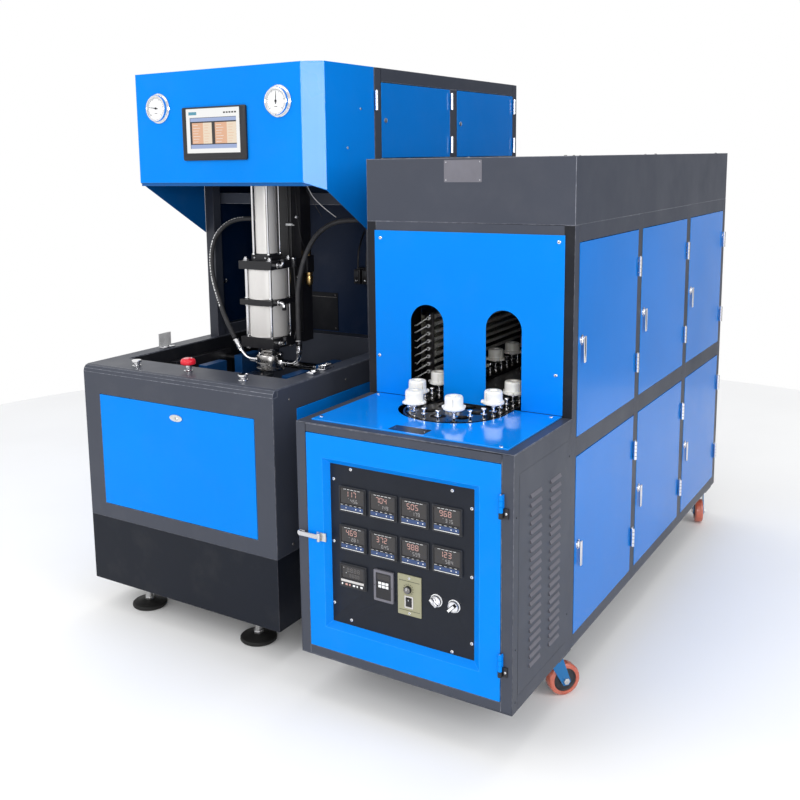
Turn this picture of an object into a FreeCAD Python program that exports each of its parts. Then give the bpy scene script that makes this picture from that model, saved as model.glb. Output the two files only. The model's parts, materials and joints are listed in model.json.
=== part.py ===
import FreeCAD, Part
import Sketcher
import math
import os
import re

# Blow moulding machine: a stretch-blow station and a rotary infrared preform
# heater that stand side by side.  Millimetres, +Z up, floor at Z = 0, operator
# side towards -Y.  Every x below is measured from the heater's right side and
# every y from the heater's front; ref_x and ref_y bring that corner into the
# part's frame, whose origin is on the floor under the middle of the machine.

V = FreeCAD.Vector
doc = FreeCAD.newDocument("blow_moulding_machine")
sheet = doc.addObject("Spreadsheet::Sheet", "Dims")

DIMS = [
    ("ref_x", 782.84, "x of the heater's right side"),
    ("ref_y", -1012.0, "y of the heater's front"),
    ("plate", 3.0, "sheet metal thickness"),
    ("heater_w", 640.0, "heater width"),
    ("box_depth", 375.0, "depth of the low control box"),
    ("cab_rear", 2040.0, "rear of the heater cabinet"),
    ("under_z", 132.0, "underside of the heater"),
    ("table_z", 800.0, "top of the control box"),
    ("seam_z", 1316.0, "seam between cabinet and its top cap"),
    ("cap_z", 1495.0, "top of the heater cap"),
    ("base_right", -798.0, "right side of the blow station base"),
    ("base_left", -1588.0, "left side of the blow station base"),
    ("base_front", 100.0, "front of the base"),
    ("base_rear", 1850.0, "rear of the base"),
    ("plinth_z", 100.0, "underside of the plinth"),
    ("skirt_z", 328.0, "top of the plinth"),
    ("deck_z", 842.0, "top of the deck"),
    ("tower_right", -817.0, "right side of the tower"),
    ("tower_left", -1569.0, "left side of the tower"),
    ("tower_front", 708.0, "front of the tower posts"),
    ("tower_rear", 1836.0, "rear of the tower"),
    ("tower_top", 1790.0, "top of tower and hood"),
    ("head_front", 385.0, "front of the overhanging hood"),
    ("head_low", 1428.0, "lower edge of the hood front"),
    ("head_corner", 1235.0, "lower rear corner of the hood sides"),
    ("axis_x", -1193.0, "x of the blowing axis"),
    ("axis_y", 595.0, "y of the blowing axis"),
    ("seal_low", 772.0, "lower face of the raised seal head"),
    ("big_bore", 62.0, "bore radius of the seal cylinders"),
    ("big_wall", 67.0, "outer radius of the seal cylinders"),
    ("small_bore", 32.0, "bore radius of the stretch cylinder"),
    ("small_wall", 37.0, "outer radius of the stretch cylinder"),
    ("mould_gap", 75.0, "half gap between the open mould halves"),
    ("mould_low", 440.0, "lower face of the mould"),
    ("mould_high", 728.0, "top face of the mould"),
    ("track_x", -320.0, "x of the oven chain's middle line"),
    ("track_front", 307.0, "y of the front sprocket"),
    ("track_rear", 1824.0, "y of the rear sprocket"),
    ("track_rad", 122.0, "pitch radius of the oven chain"),
    ("cup_count", 29.0, "preform cups on the chain"),
    ("hole_rad", 155.0, "radius of the opening in the table"),
    ("arch_rad", 54.0, "radius of the cover's arches"),
    ("arch_mid", 1026.0, "height of the arch centres"),
    ("wheel_rad", 47.0, "caster wheel radius"),
    ("wheel_w", 32.0, "caster wheel width"),
    ("trail", 38.0, "caster trail"),
    ("gauge_rad", 49.0, "pressure gauge bezel radius"),
    ("hose_rad", 8.5, "hose outer radius"),
]
for i, (alias, value, note) in enumerate(DIMS):
    row = i + 1
    sheet.set("A%d" % row, note)
    sheet.set("B%d" % row, repr(value))
    sheet.setAlias("B%d" % row, alias)
doc.recompute()
D = {a: v for a, v, n in DIMS}
NAMES = re.compile(r"\b(" + "|".join(sorted(D, key=len, reverse=True)) + r")\b")


def ex(e):
    """An expression on the sheet's cells, from text or a number."""
    return NAMES.sub(r"Dims.\1", "%s" % (e,))


def val(e):
    return float(eval_expr("%s" % (e,)))


def eval_expr(e):
    s = NAMES.sub(lambda k: "(%r)" % D[k.group(1)], e)
    total, sign, depth, cur, terms = 0.0, 1, 0, "", []
    return arith(s.replace(" ", ""))


def arith(s):
    """Sums and products of plain numbers with brackets."""
    pos = [0]

    def atom():
        if s[pos[0]] == "-":
            pos[0] += 1
            return -atom()
        if s[pos[0]] == "(":
            pos[0] += 1
            v = add()
            pos[0] += 1
            return v
        j = pos[0]
        while j < len(s) and (s[j].isdigit() or s[j] == "."):
            j += 1
        v = float(s[pos[0]:j])
        pos[0] = j
        return v

    def mul():
        v = atom()
        while pos[0] < len(s) and s[pos[0]] in "*/":
            op = s[pos[0]]
            pos[0] += 1
            w = atom()
            v = v * w if op == "*" else v / w
        return v

    def add():
        v = mul()
        while pos[0] < len(s) and s[pos[0]] in "+-":
            op = s[pos[0]]
            pos[0] += 1
            w = mul()
            v = v + w if op == "+" else v - w
        return v
    return add()


EXPORT = []
SER = [0]


def nm(base="part"):
    SER[0] += 1
    return "%s_%03d" % (base, SER[0])


def place(o, x, y, z, world=True):
    px, py = ("ref_x + (%s)" % x, "ref_y + (%s)" % y) if world else (x, y)
    o.setExpression("Placement.Base.x", ex(px))
    o.setExpression("Placement.Base.y", ex(py))
    o.setExpression("Placement.Base.z", ex(z))
    return o


def box(x0, x1, y0, y1, z0, z1, world=True):
    o = doc.addObject("Part::Box", nm("box"))
    o.setExpression("Length", ex("(%s) - (%s)" % (x1, x0)))
    o.setExpression("Width", ex("(%s) - (%s)" % (y1, y0)))
    o.setExpression("Height", ex("(%s) - (%s)" % (z1, z0)))
    return place(o, x0, y0, z0, world)


def cyl(axis, a0, a1, b, c, r, world=True):
    """A cylinder along an axis: 'z' has b, c = x, y; 'x' has y, z; 'y' has x, z."""
    o = doc.addObject("Part::Cylinder", nm("cyl"))
    o.setExpression("Radius", ex(r))
    o.setExpression("Height", ex("(%s) - (%s)" % (a1, a0)))
    if axis == "z":
        return place(o, b, c, a0, world)
    if axis == "x":
        o.Placement = FreeCAD.Placement(V(0, 0, 0), FreeCAD.Rotation(V(0, 1, 0), 90))
        return place(o, a0, b, c, world)
    o.Placement = FreeCAD.Placement(V(0, 0, 0), FreeCAD.Rotation(V(1, 0, 0), -90))
    return place(o, b, a0, c, world)


def cone(z0, z1, x, y, r0, r1, world=True):
    o = doc.addObject("Part::Cone", nm("cone"))
    o.setExpression("Radius1", ex(r0))
    o.setExpression("Radius2", ex(r1))
    o.setExpression("Height", ex("(%s) - (%s)" % (z1, z0)))
    return place(o, x, y, z0, world)


def group(parts, label=None):
    o = doc.addObject("Part::Compound", nm("set"))
    o.Links = parts
    return named(o, label)


def fuse(parts, label=None):
    o = doc.addObject("Part::MultiFuse", nm("fuse"))
    o.Shapes = parts
    o.Refine = True
    return named(o, label)


def cut(base, tools, label=None):
    o = doc.addObject("Part::Cut", nm("cut"))
    o.Base = base
    o.Tool = tools[0] if len(tools) == 1 else group(tools)
    return named(o, label)


def named(o, label):
    if label:
        o.Label = label
        EXPORT.append(o)
    return o


def feature(shape, label):
    o = doc.addObject("Part::Feature", nm("feat"))
    o.Shape = shape
    return named(o, label)


PLANES = {}


def body(label, x, y, z):
    b = doc.addObject("PartDesign::Body", nm("body"))
    place(b, x, y, z)
    return named(b, label)


def sketch(b, role, loops, off=0):
    """Closed loops on one of the body's own planes.  A loop is a list of corner
    points, or ("circle", u, v, r).  Every corner is dimensioned from the origin."""
    s = b.newObject("Sketcher::SketchObject", nm("sketch"))
    pl = [f for f in b.Origin.OriginFeatures if f.Role == role][0]
    s.AttachmentSupport = [(pl, "")]
    s.MapMode = "FlatFace"
    if off:
        s.AttachmentOffset = FreeCAD.Placement(V(0, 0, 0), FreeCAD.Rotation())
        s.setExpression("AttachmentOffset.Base.z", ex(off))
    fill_sketch(s, loops)
    return s


def fill_sketch(s, loops):
    n = 0
    for loop in loops:
        if loop[0] == "circle":
            u, v, r = loop[1:]
            g = s.addGeometry(Part.Circle(V(val(u), val(v), 0), V(0, 0, 1), val(r)), False)
            c = s.addConstraint(Sketcher.Constraint("Radius", g, val(r)))
            s.setExpression("Constraints[%d]" % c, ex(r))
            pin(s, g, 3, u, v)
            continue
        pts = [(val(u), val(v)) for u, v in loop]
        ids = []
        for i in range(len(pts)):
            p, q = pts[i], pts[(i + 1) % len(pts)]
            ids.append(s.addGeometry(Part.LineSegment(V(p[0], p[1], 0), V(q[0], q[1], 0)), False))
        for i in range(len(pts)):
            s.addConstraint(Sketcher.Constraint("Coincident", ids[i - 1], 2, ids[i], 1))
        for i, (u, v) in enumerate(loop):
            pin(s, ids[i], 1, u, v)


def pin(s, g, pos, u, v):
    for kind, axis, e in (("DistanceX", -2, u), ("DistanceY", -1, v)):
        w = val(e)
        if abs(w) < 1e-9:
            s.addConstraint(Sketcher.Constraint("PointOnObject", g, pos, axis))
        else:
            c = s.addConstraint(Sketcher.Constraint(kind, -1, 1, g, pos, w))
            s.setExpression("Constraints[%d]" % c, ex(e))


def pad(b, sk, length, rev=False):
    f = b.newObject("PartDesign::Pad", nm("pad"))
    f.Profile = sk
    f.setExpression("Length", ex(length))
    f.Reversed = rev
    b.Tip = f
    doc.recompute()
    return f


def pocket_through(b, sk):
    f = b.newObject("PartDesign::Pocket", nm("pocket"))
    f.Profile = sk
    f.Type = "ThroughAll"
    f.Midplane = True
    b.Tip = f
    doc.recompute()
    return f


def revolve(b, sk):
    f = b.newObject("PartDesign::Revolution", nm("rev"))
    f.Profile = sk
    f.ReferenceAxis = (sk, ["V_Axis"])
    f.Angle = 360
    b.Tip = f
    doc.recompute()
    return f


def extrude(plane, pts, length, world_at=None):
    """A flat profile extruded along the plane's normal; 'yz' runs along +X."""
    s = doc.addObject("Sketcher::SketchObject", nm("profile"))
    if plane == "yz":
        s.Placement = FreeCAD.Placement(V(0, 0, 0), FreeCAD.Rotation(V(1, 1, 1), 120))
    fill_sketch(s, [pts])
    e = doc.addObject("Part::Extrusion", nm("extr"))
    e.Base = s
    e.DirMode = "Custom"
    e.Dir = V(1, 0, 0) if plane == "yz" else V(0, 0, 1)
    e.setExpression("LengthFwd", ex(length))
    e.Solid = True
    return e


def at(x, y, z):
    """A point of the machine in the part's frame."""
    return V(D["ref_x"] + val(x), D["ref_y"] + val(y), val(z))


# ---------------------------------------------------------------- blow station
BL, BR, BF, BB = "base_left", "base_right", "base_front", "base_rear"
AX, AY = "axis_x", "axis_y"

group([
    box(BL, BR, BF, "base_front + plate", "plinth_z", "skirt_z"),
    box(BL, BR, "base_rear - plate", BB, "plinth_z", "skirt_z"),
    box(BL, "base_left + plate", "base_front + plate", "base_rear - plate", "plinth_z", "skirt_z"),
    box("base_right - plate", BR, "base_front + plate", "base_rear - plate", "plinth_z", "skirt_z"),
    box("base_left + plate", "base_right - plate", "base_front + plate", "base_rear - plate",
        "plinth_z", "plinth_z + 6"),
], "blower_plinth")

# folded front sheet: upright face, rounded nose and the control strip on top
nose = 22
b = body("blower_front_frame", BL, BF, "skirt_z")
hgt = "(deck_z - skirt_z)"
prof = [("0", "0"), ("0", hgt + " - 22"), ("2.9", hgt + " - 11"), ("11", hgt + " - 2.9"), ("22", hgt),
        ("147", hgt), ("147", hgt + " - plate"), ("22", hgt + " - plate"), ("12.5", hgt + " - 5.5"),
        ("5.5", hgt + " - 12.5"), ("plate", hgt + " - 22"), ("plate", "0")]
pad(b, sketch(b, "YZ_Plane", [prof]), "base_right - base_left")
sk = sketch(b, "XZ_Plane", [[("70", "48"), ("base_right - base_left - 70", "48"),
                             ("base_right - base_left - 70", "423"), ("70", "423")]])
f = b.newObject("PartDesign::Pocket", nm("pocket"))
f.Profile = sk
f.Type = "Length"
f.Length = 12
f.Midplane = True
b.Tip = f
doc.recompute()
sk = sketch(b, "XY_Plane", [("circle", "181", "66", "11.5"), ("circle", "385", "90", "11.5"),
                            ("circle", "629", "66", "11.5")])
pocket_through(b, sk)

# side sheets with their panel openings, turned-in rims, rear sheet, the well
# that the mould works in
side_hole = ("215", "1700", "376", "766")


def side_sheet(x0, x1):
    return cut(box(x0, x1, "base_front + plate", "base_rear - plate", "skirt_z", "deck_z - plate"),
               [box("(%s) - 5" % x0, "(%s) + 5" % x1, side_hole[0], side_hole[1], side_hole[2], side_hole[3]),
                box("(%s) - 5" % x0, "(%s) + 5" % x1, BF, "base_front + 23", "deck_z - 23", "deck_z")])


group([
    side_sheet(BL, "base_left + plate"),
    side_sheet("base_right - plate", BR),
    box(BL, "base_left + 60", "base_front + 147", BB, "deck_z - plate", "deck_z"),
    box("base_right - 60", BR, "base_front + 147", BB, "deck_z - plate", "deck_z"),
    box("base_left + 60", "base_right - 60", "940", BB, "deck_z - plate", "deck_z"),
    box(BL, BR, "base_rear - plate", BB, "skirt_z", "deck_z - plate"),
    box("base_left + 57", "base_right - 57", "247", "250", "400", "deck_z - plate"),
    box("base_left + 57", "base_right - 57", "940", "943", "400", "deck_z - plate"),
    box("base_left + 57", "base_left + 60", "250", "940", "400", "deck_z - plate"),
    box("base_right - 60", "base_right - 57", "250", "940", "400", "deck_z - plate"),
    box("base_left + 57", "base_right - 57", "247", "943", "397", "400"),
], "blower_frame")

# blue infill: side panels, tower skins and the partition behind the cylinders
PIN = "tower_front + 40"
group([
    box(BL, "base_left + plate", "217", "1698", "378", "764"),
    box("base_right - plate", BR, "217", "1698", "378", "764"),
    box("tower_left + 3", "tower_left + 6", PIN, "tower_rear - 40", "deck_z + 40", "tower_top - 45"),
    box("tower_right - 6", "tower_right - 3", PIN, "tower_rear - 40", "deck_z + 40", "1452"),
    box("tower_left + 40", "tower_right - 40", "tower_rear - 6", "tower_rear - 3", "deck_z + 40", "tower_top - 45"),
    box("tower_left + 40", "tower_right - 40", PIN, "tower_rear - 40", "tower_top - 5", "tower_top - 2"),
    box("tower_left + 40", "tower_right - 40", "1000", "1003", "deck_z", "tower_top - 45"),
], "blower_panels")

feet = []
for fx in ("base_left + 157", "base_right - 157"):
    for fy in ("191", "975", "1760"):
        feet.append(cyl("z", 0, 22, fx, fy, 58))
        feet.append(cyl("z", 22, "plinth_z", fx, fy, 12))
group(feet, "levelling_feet")

# tower of square tube
tw = []
TL, TR, TF, TB = "tower_left", "tower_right", "tower_front", "tower_rear"
for x0, x1 in ((TL, "tower_left + 40"), ("tower_right - 40", TR)):
    for y0, y1 in ((TF, PIN), ("tower_rear - 40", TB)):
        tw.append(box(x0, x1, y0, y1, "deck_z", "tower_top"))
    tw.append(box(x0, x1, PIN, "tower_rear - 40", "tower_top - 45", "tower_top"))
    tw.append(box(x0, x1, PIN, "tower_rear - 40", "deck_z", "deck_z + 40"))
tw.append(box("tower_right - 40", TR, "1236", "1291", "1497", "tower_top - 45"))
tw.append(box("tower_right - 40", TR, PIN, "tower_rear - 40", "1452", "1497"))
for y0, y1 in ((TF, PIN), ("tower_rear - 40", TB)):
    tw.append(box("tower_left + 40", "tower_right - 40", y0, y1, "tower_top - 45", "tower_top"))
tw.append(box("tower_left + 40", "tower_right - 40", "tower_rear - 40", TB, "deck_z", "deck_z + 40"))
for z0 in ("1340", "1620"):
    tw.append(box("tower_left + 40", "tower_right - 40", "760", "800", z0, "(%s) + 40" % z0))
    for x0, x1 in (("tower_left + 6", "tower_left + 40"), ("tower_right - 40", "tower_right - 17")):
        tw.append(box(x0, x1, "760", "800", z0, "(%s) + 40" % z0)) if z0 == "1340" and "left" in x0 else None
tw = [t for t in tw if t]
group(tw, "tower_frame")

# cylinder stack: mounting column with its plates
column = cut(box("axis_x - 70", "axis_x + 70", "700", "760", "859", "1680"),
             [box("axis_x - 64", "axis_x + 64", "706", "754", "850", "1690")])
p_low = cut(box("axis_x - 70", "axis_x + 70", "525", "700", "859", "895"),
            [cyl("z", "850", "900", AX, AY, 18.4)])
p_mid = cut(box("axis_x - 70", "axis_x + 70", "525", "665", "1007", "1026"),
            [cyl("z", "1000", "1030", AX, AY, 18.4)])
p_top = cut(box("axis_x - 70", "axis_x + 70", "525", "700", "1131", "1159"),
            [cyl("z", "1100", "1200", AX, AY, 6.4)])
rod_holes = []
for sx in (-52, 52):
    for sy in (-52, 52):
        rod_holes.append((sx, sy))


def drill(plate_obj, z0, z1):
    return cut(plate_obj, [cyl("z", z0, z1, "axis_x + (%d)" % sx, "axis_y + (%d)" % sy, 5) for sx, sy in rod_holes])


head_low_cap = cut(box("axis_x - 38", "axis_x + 38", "axis_y - 38", "axis_y + 38", "1159", "1177"),
                   [cyl("z", "1150", "1180", AX, AY, 6.4)])
head_top_cap = box("axis_x - 38", "axis_x + 38", "axis_y - 38", "axis_y + 38", "1545", "1565")
yoke = box("axis_x - 38", "axis_x + 38", "axis_y + 38", "700", "1548", "1562")
group([column, drill(p_low, "850", "900"), drill(p_mid, "1000", "1030"), drill(p_top, "1120", "1170"),
       head_low_cap, head_top_cap, yoke], "cylinder_mount")
group([
    cut(cyl("z", "895", "1007", AX, AY, "big_wall"), [cyl("z", "890", "1010", AX, AY, "big_bore")]),
    cut(cyl("z", "1026", "1131", AX, AY, "big_wall"), [cyl("z", "1020", "1140", AX, AY, "big_bore")]),
    cut(cyl("z", "1177", "1545", AX, AY, "small_wall"), [cyl("z", "1170", "1550", AX, AY, "small_bore")]),
], "cylinder_barrels")
rods = [cyl("z", "859", "1172", "axis_x + (%d)" % sx, "axis_y + (%d)" % sy, 5) for sx, sy in rod_holes]
rods += [cyl("z", "1177", "1545", "axis_x + (%d)" % (sx * 32 / 52), "axis_y + (%d)" % (sy * 32 / 52), 3.5)
         for sx, sy in rod_holes]
rods += [cyl("z", "1565", "1575", "axis_x + (%d)" % (sx * 28 / 52), "axis_y + (%d)" % (sy * 28 / 52), 6)
         for sx, sy in rod_holes]
group(rods, "cylinder_tie_rods")

# seal head: hollow piston rod with two pistons, lock nut, head, elbows, ferrules
b = body(None, AX, AY, "0")
pr = [("6.6", "seal_low"), ("48", "seal_low"), ("50", "seal_low + 3"), ("50", "seal_low + 9"), ("47", "seal_low + 12"),
      ("47", "seal_low + 53"), ("44", "seal_low + 56"), ("30", "seal_low + 56"), ("30", "seal_low + 83"),
      ("18", "seal_low + 83"), ("18", "985"), ("61.5", "985"), ("61.5", "1000"), ("18", "1000"),
      ("18", "1108"), ("61.5", "1108"), ("61.5", "1123"), ("18", "1123"), ("18", "1128"), ("6.6", "1128")]
revolve(b, sketch(b, "XZ_Plane", [pr]))


def tube_run(a, c, r):
    p, q = at(*a), at(*c)
    return Part.makeCylinder(r, (q - p).Length, p, q - p)


def pipe_bits(points, r):
    """A bent bar made of short straight runs with balls at the bends."""
    s = None
    for i in range(len(points) - 1):
        t = tube_run(points[i], points[i + 1], r)
        s = t if s is None else s.fuse(t)
        if i:
            s = s.fuse(Part.makeSphere(r, at(*points[i])))
    return s.removeSplitter()


port_l = pipe_bits([("axis_x - 49", AY, "seal_low + 28"), ("axis_x - 78", AY, "seal_low + 28"),
                    ("axis_x - 108", AY, "seal_low + 36"), ("axis_x - 133.8", AY, "seal_low + 59.6")], 8)
fer_l = tube_run(("axis_x - 133.8", AY, "seal_low + 59.6"), ("axis_x - 155.4", AY, "seal_low + 93.9"), 12)
port_r = pipe_bits([("axis_x + 49", AY, "seal_low + 28"), ("axis_x + 95", AY, "seal_low + 28"),
                    ("axis_x + 120", AY, "seal_low + 42"), ("axis_x + 127", AY, "seal_low + 76")], 8)
fer_r = tube_run(("axis_x + 127", AY, "seal_low + 76"), ("axis_x + 127", AY, "seal_low + 114"), 12)
doc.recompute()
head = b.Shape.copy()
# Part.Shape of a body is already placed in the part's frame
stub_l = tube_run(("axis_x - 46", AY, "seal_low + 28"), ("axis_x - 60", AY, "seal_low + 28"), 13)
stub_r = tube_run(("axis_x + 46", AY, "seal_low + 28"), ("axis_x + 60", AY, "seal_low + 28"), 13)
left_fit = stub_l.fuse([port_l, fer_l]).cut(head).removeSplitter()
right_fit = stub_r.fuse([port_r, fer_r]).cut(head).removeSplitter()
feature(Part.Compound([head] + left_fit.Solids + right_fit.Solids), "seal_head")

fuse([cyl("z", "seal_low + 13", "1528", AX, AY, 6), cyl("z", "1512", "1528", AX, AY, 31.5)], "stretch_rod")

# hoses: straight runs joined by tangent arcs
HOSE_L = [(-1350, 595, 868), (-1389, 595, 930), (-1426, 602, 1006), (-1462, 612, 1088), (-1481, 632, 1170),
          (-1478, 662, 1238), (-1436, 704, 1286), (-1360, 732, 1290), (-1283, 732, 1290)]
HOSE_R = [(-1066, 595, 886), (-1066, 595, 962), (-1070, 600, 1042), (-1064, 610, 1116), (-1052, 632, 1186),
          (-1034, 666, 1244), (-999, 708, 1281), (-942, 735, 1292), (-877, 735, 1292)]


def hose(points, label):
    P = [V(D["ref_x"] + x, D["ref_y"] + y, z) for x, y, z in points]
    edges, cur, total = [], P[0], 0.0
    for i in range(1, len(P) - 1):
        a, c = P[i - 1] - P[i], P[i + 1] - P[i]
        la, lc = a.Length, c.Length
        a.normalize()
        c.normalize()
        turn = math.pi - a.getAngle(c)
        cutback = 0.45 * min(la, lc)
        rad = cutback / math.tan(turn / 2)
        s, e = P[i] + a * cutback, P[i] + c * cutback
        mid_dir = (a + c)
        mid_dir.normalize()
        centre = P[i] + mid_dir * (rad / math.cos(turn / 2))
        m = centre - mid_dir * rad
        edges.append(Part.LineSegment(cur, s).toShape())
        edges.append(Part.Arc(s, m, e).toShape())
        total += (s - cur).Length + rad * turn
        cur = e
        print("%s bend %d radius %.0f mm" % (label, i, rad))
    edges.append(Part.LineSegment(cur, P[-1]).toShape())
    total += (P[-1] - cur).Length
    wire = Part.Wire(edges)
    circ = Part.Wire([Part.Circle(P[0], P[1] - P[0], D["hose_rad"]).toShape()])
    sh = wire.makePipeShell([circ], True, True)
    want = math.pi * D["hose_rad"] ** 2 * total
    print("%s length %.0f mm volume %.0f of %.0f" % (label, total, sh.Volume, want))
    if abs(sh.Volume - want) > 0.02 * want:
        raise SystemExit("hose volume is wrong")
    return feature(sh, label)


hose(HOSE_L, "hose_left")
hose(HOSE_R, "hose_right")

# mould halves: block with half a bottle cavity, platen, clamp rod and piston
CAV = [("0.01", "mould_low + 30"), ("40", "mould_low + 30"), ("47", "mould_low + 40"), ("47", "mould_low + 190"),
       ("34", "mould_low + 232"), ("16", "mould_low + 262"), ("14", "mould_high + 5"), ("0.01", "mould_high + 5")]
for side, sg in (("left", -1), ("right", 1)):
    def xx(a):
        return "axis_x + (%s)" % (a if sg > 0 else "-(%s)" % a)

    def xbox(a, c, *r):
        return box(xx(a), xx(c), *r) if sg > 0 else box(xx(c), xx(a), *r)

    def xcyl(a, c, y, z, r):
        return cyl("x", xx(a), xx(c), y, z, r) if sg > 0 else cyl("x", xx(c), xx(a), y, z, r)
    # the cavity is turned about the parting face of this half
    cav = doc.addObject("Part::Revolution", nm("cavity"))
    s = doc.addObject("Sketcher::SketchObject", nm("profile"))
    s.Placement = FreeCAD.Placement(V(0, 0, 0), FreeCAD.Rotation(V(1, 0, 0), 90))
    fill_sketch(s, [[(("0" if u == "0.01" else u), v) for u, v in CAV]])
    cav.Source = s
    cav.Axis = V(0, 0, 1)
    cav.Angle = 360
    cav.Solid = True
    place(cav, xx("mould_gap"), AY, "0")
    block = cut(xbox("mould_gap", "mould_gap + 90", "axis_y - 110", "axis_y + 110", "mould_low", "mould_high"), [cav])
    platen = cut(xbox("mould_gap + 90", "mould_gap + 125", "axis_y - 150", "axis_y + 150", "410", "795"),
                 [xcyl("mould_gap + 80", "mould_gap + 130", "axis_y + (%d)" % oy, oz, 14.5)
                  for oy in (-128, 128) for oz in ("440", "765")]
                 + [xbox("mould_gap + 80", "mould_gap + 130", "axis_y - 42", "axis_y + 42", "mould_high + 6", "800")])
    rod = fuse([xcyl("mould_gap + 125", "304", AY, "602", 18), xcyl("288", "304", AY, "602", 39.5)])
    group([block, platen, rod], "mould_half_" + side)

# clamp unit: end plates, tie bars, clamp cylinder barrels
ends = []
for sg in (-1, 1):
    a, c = ("307", "332") if sg > 0 else ("-332", "-307")
    ends.append(box("axis_x + (%s)" % a, "axis_x + (%s)" % c, "axis_y - 150", "axis_y + 150", "400", "795"))
    a, c = ("207", "307") if sg > 0 else ("-307", "-207")
    ga, gc = ("213", "307.5") if sg > 0 else ("-307.5", "-213")
    ends.append(cut(cyl("x", "axis_x + (%s)" % a, "axis_x + (%s)" % c, AY, "602", 47),
                    [cyl("x", "axis_x + (%s)" % ga, "axis_x + (%s)" % gc, AY, "602", 40),
                     cyl("x", "axis_x + (%s)" % a + " - 1", "axis_x + (%s)" % c + " + 1", AY, "602", 18.4)]))
for oy in (-128, 128):
    for oz in ("440", "765"):
        ends.append(cyl("x", "axis_x - 307", "axis_x + 307", "axis_y + (%d)" % oy, oz, 14))
group(ends, "clamp_unit")

# air side: valve manifold, filter regulator, air lines, hose bulkheads
pn = [
    box("-1060", "-920", "955", "1000", "1040", "1100"),
    box("-1056", "-1030", "930", "955", "1044", "1096"),
    box("-1020", "-994", "930", "955", "1044", "1096"),
    box("-984", "-958", "930", "955", "1044", "1096"),
    box("axis_x + 70", "axis_x + 92", "705", "745", "1105", "1165"),
    cyl("z", "1055", "1105", "axis_x + 84", "725", 13),
    cyl("z", "1165", "1180", "axis_x + 82", "725", 9),
    cyl("x", "-1283", "-1263", "732", "1290", 12),
    cyl("x", "-877", "-857", "735", "1292", 12),
    cyl("z", "1159", "1540", "axis_x + 21", "690", 4),
    cyl("z", "1159", "1540", "axis_x + 35", "690", 4),
    cyl("x", "-1563", "-1541", "764", "1042", 9),
    box("-1500", "-900", "1003", "1030", "1000", "1400"),
    box("-1460", "-1300", "1030", "1120", "1100", "1250"),
    box("-1260", "-1100", "1030", "1110", "1080", "1300"),
    box("-1060", "-940", "1030", "1130", "1060", "1200"),
]
group(pn, "pneumatics")

# the three controls on the deck strip
for label, px, py, top in (("start_button_left", "base_left + 181", "166", 0), ("start_button_right", "base_left + 629", "166", 0)):
    b = body(label, px, py, "0")
    revolve(b, sketch(b, "XZ_Plane", [[("0", "deck_z - 14"), ("11", "deck_z - 14"), ("11", "deck_z + 11"), ("16", "deck_z + 14"),
                                       ("16", "deck_z + 19"), ("14.5", "deck_z + 20.5"), ("0", "deck_z + 20.5")]]))
b = body("estop_button", "base_left + 385", "190", "0")
revolve(b, sketch(b, "XZ_Plane", [[("0", "deck_z - 14"), ("11", "deck_z - 14"), ("11", "deck_z + 19"), ("20", "deck_z + 21"),
                                   ("24", "deck_z + 25"), ("24", "deck_z + 33"), ("21", "deck_z + 39"), ("12", "deck_z + 42"), ("0", "deck_z + 42.5")]]))

# front service panel with its key lock
fp = cut(box("base_left + 72", "base_right - 72", "99", "115", "378", "749"),
         [box("base_left + 75", "base_right - 75", "102", "120", "381", "746")])
group([fp,
       cyl("y", "93", "99", "base_left + 410", "712", 15),
       cyl("y", "102", "118", "base_left + 410", "712", 10),
       box("base_left + 405", "base_left + 415", "118", "121", "700", "746")], "blower_front_panel")

# hood over the cylinders: folded shell, chamfered at its right front corner
b = body("hood_shell", "tower_left", "head_front", "head_corner")
W_, Y_ = "(tower_right - tower_left)", "(tower_front - 2 - head_front)"
H_ = "(tower_top - head_corner)"
pad(b, sketch(b, "XY_Plane", [[("0", "0"), (W_ + " - 60", "0"), (W_, "42"), (W_, Y_), ("0", Y_)]]), H_)
sk = sketch(b, "YZ_Plane", [[("0", "0"), (Y_, "0"), ("14", "head_low - head_corner - 8"), ("0", "head_low - head_corner")]])
f = pocket_through(b, sk)
sk = sketch(b, "XY_Plane", [[("plate", "plate"), (W_ + " - 61.4", "plate"), (W_ + " - plate", "43.7"),
                             (W_ + " - plate", Y_ + " + 5"), ("plate", Y_ + " + 5")]])
f = b.newObject("PartDesign::Pocket", nm("pocket"))
f.Profile = sk
f.Type = "Length"
f.setExpression("Length", ex(H_ + " - plate"))
f.Reversed = True
b.Tip = f
doc.recompute()
sk = sketch(b, "XZ_Plane", [[("219", "1509 - head_corner"), ("475", "1509 - head_corner"),
                             ("475", "1662 - head_corner"), ("219", "1662 - head_corner")],
                            ("circle", "103", "1674 - head_corner", "44"),
                            ("circle", "607", "1676 - head_corner", "44")])
f = b.newObject("PartDesign::Pocket", nm("pocket"))
f.Profile = sk
f.Type = "Length"
f.Length = 20
f.Midplane = True
b.Tip = f
doc.recompute()

group([
    box("tower_left + 212", "tower_left + 481", "head_front - 8", "head_front", "1500", "1671"),
    box("tower_left + 221", "tower_left + 473", "head_front", "head_front + 42", "1511", "1660"),
    cyl("y", "head_front - 20", "head_front", "tower_left + 103", "1674", "gauge_rad"),
    cyl("y", "head_front", "head_front + 28", "tower_left + 103", "1674", 43),
    cyl("y", "head_front - 20", "head_front", "tower_left + 607", "1676", "gauge_rad"),
    cyl("y", "head_front", "head_front + 28", "tower_left + 607", "1676", 43),
], "hood_instruments")


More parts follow.
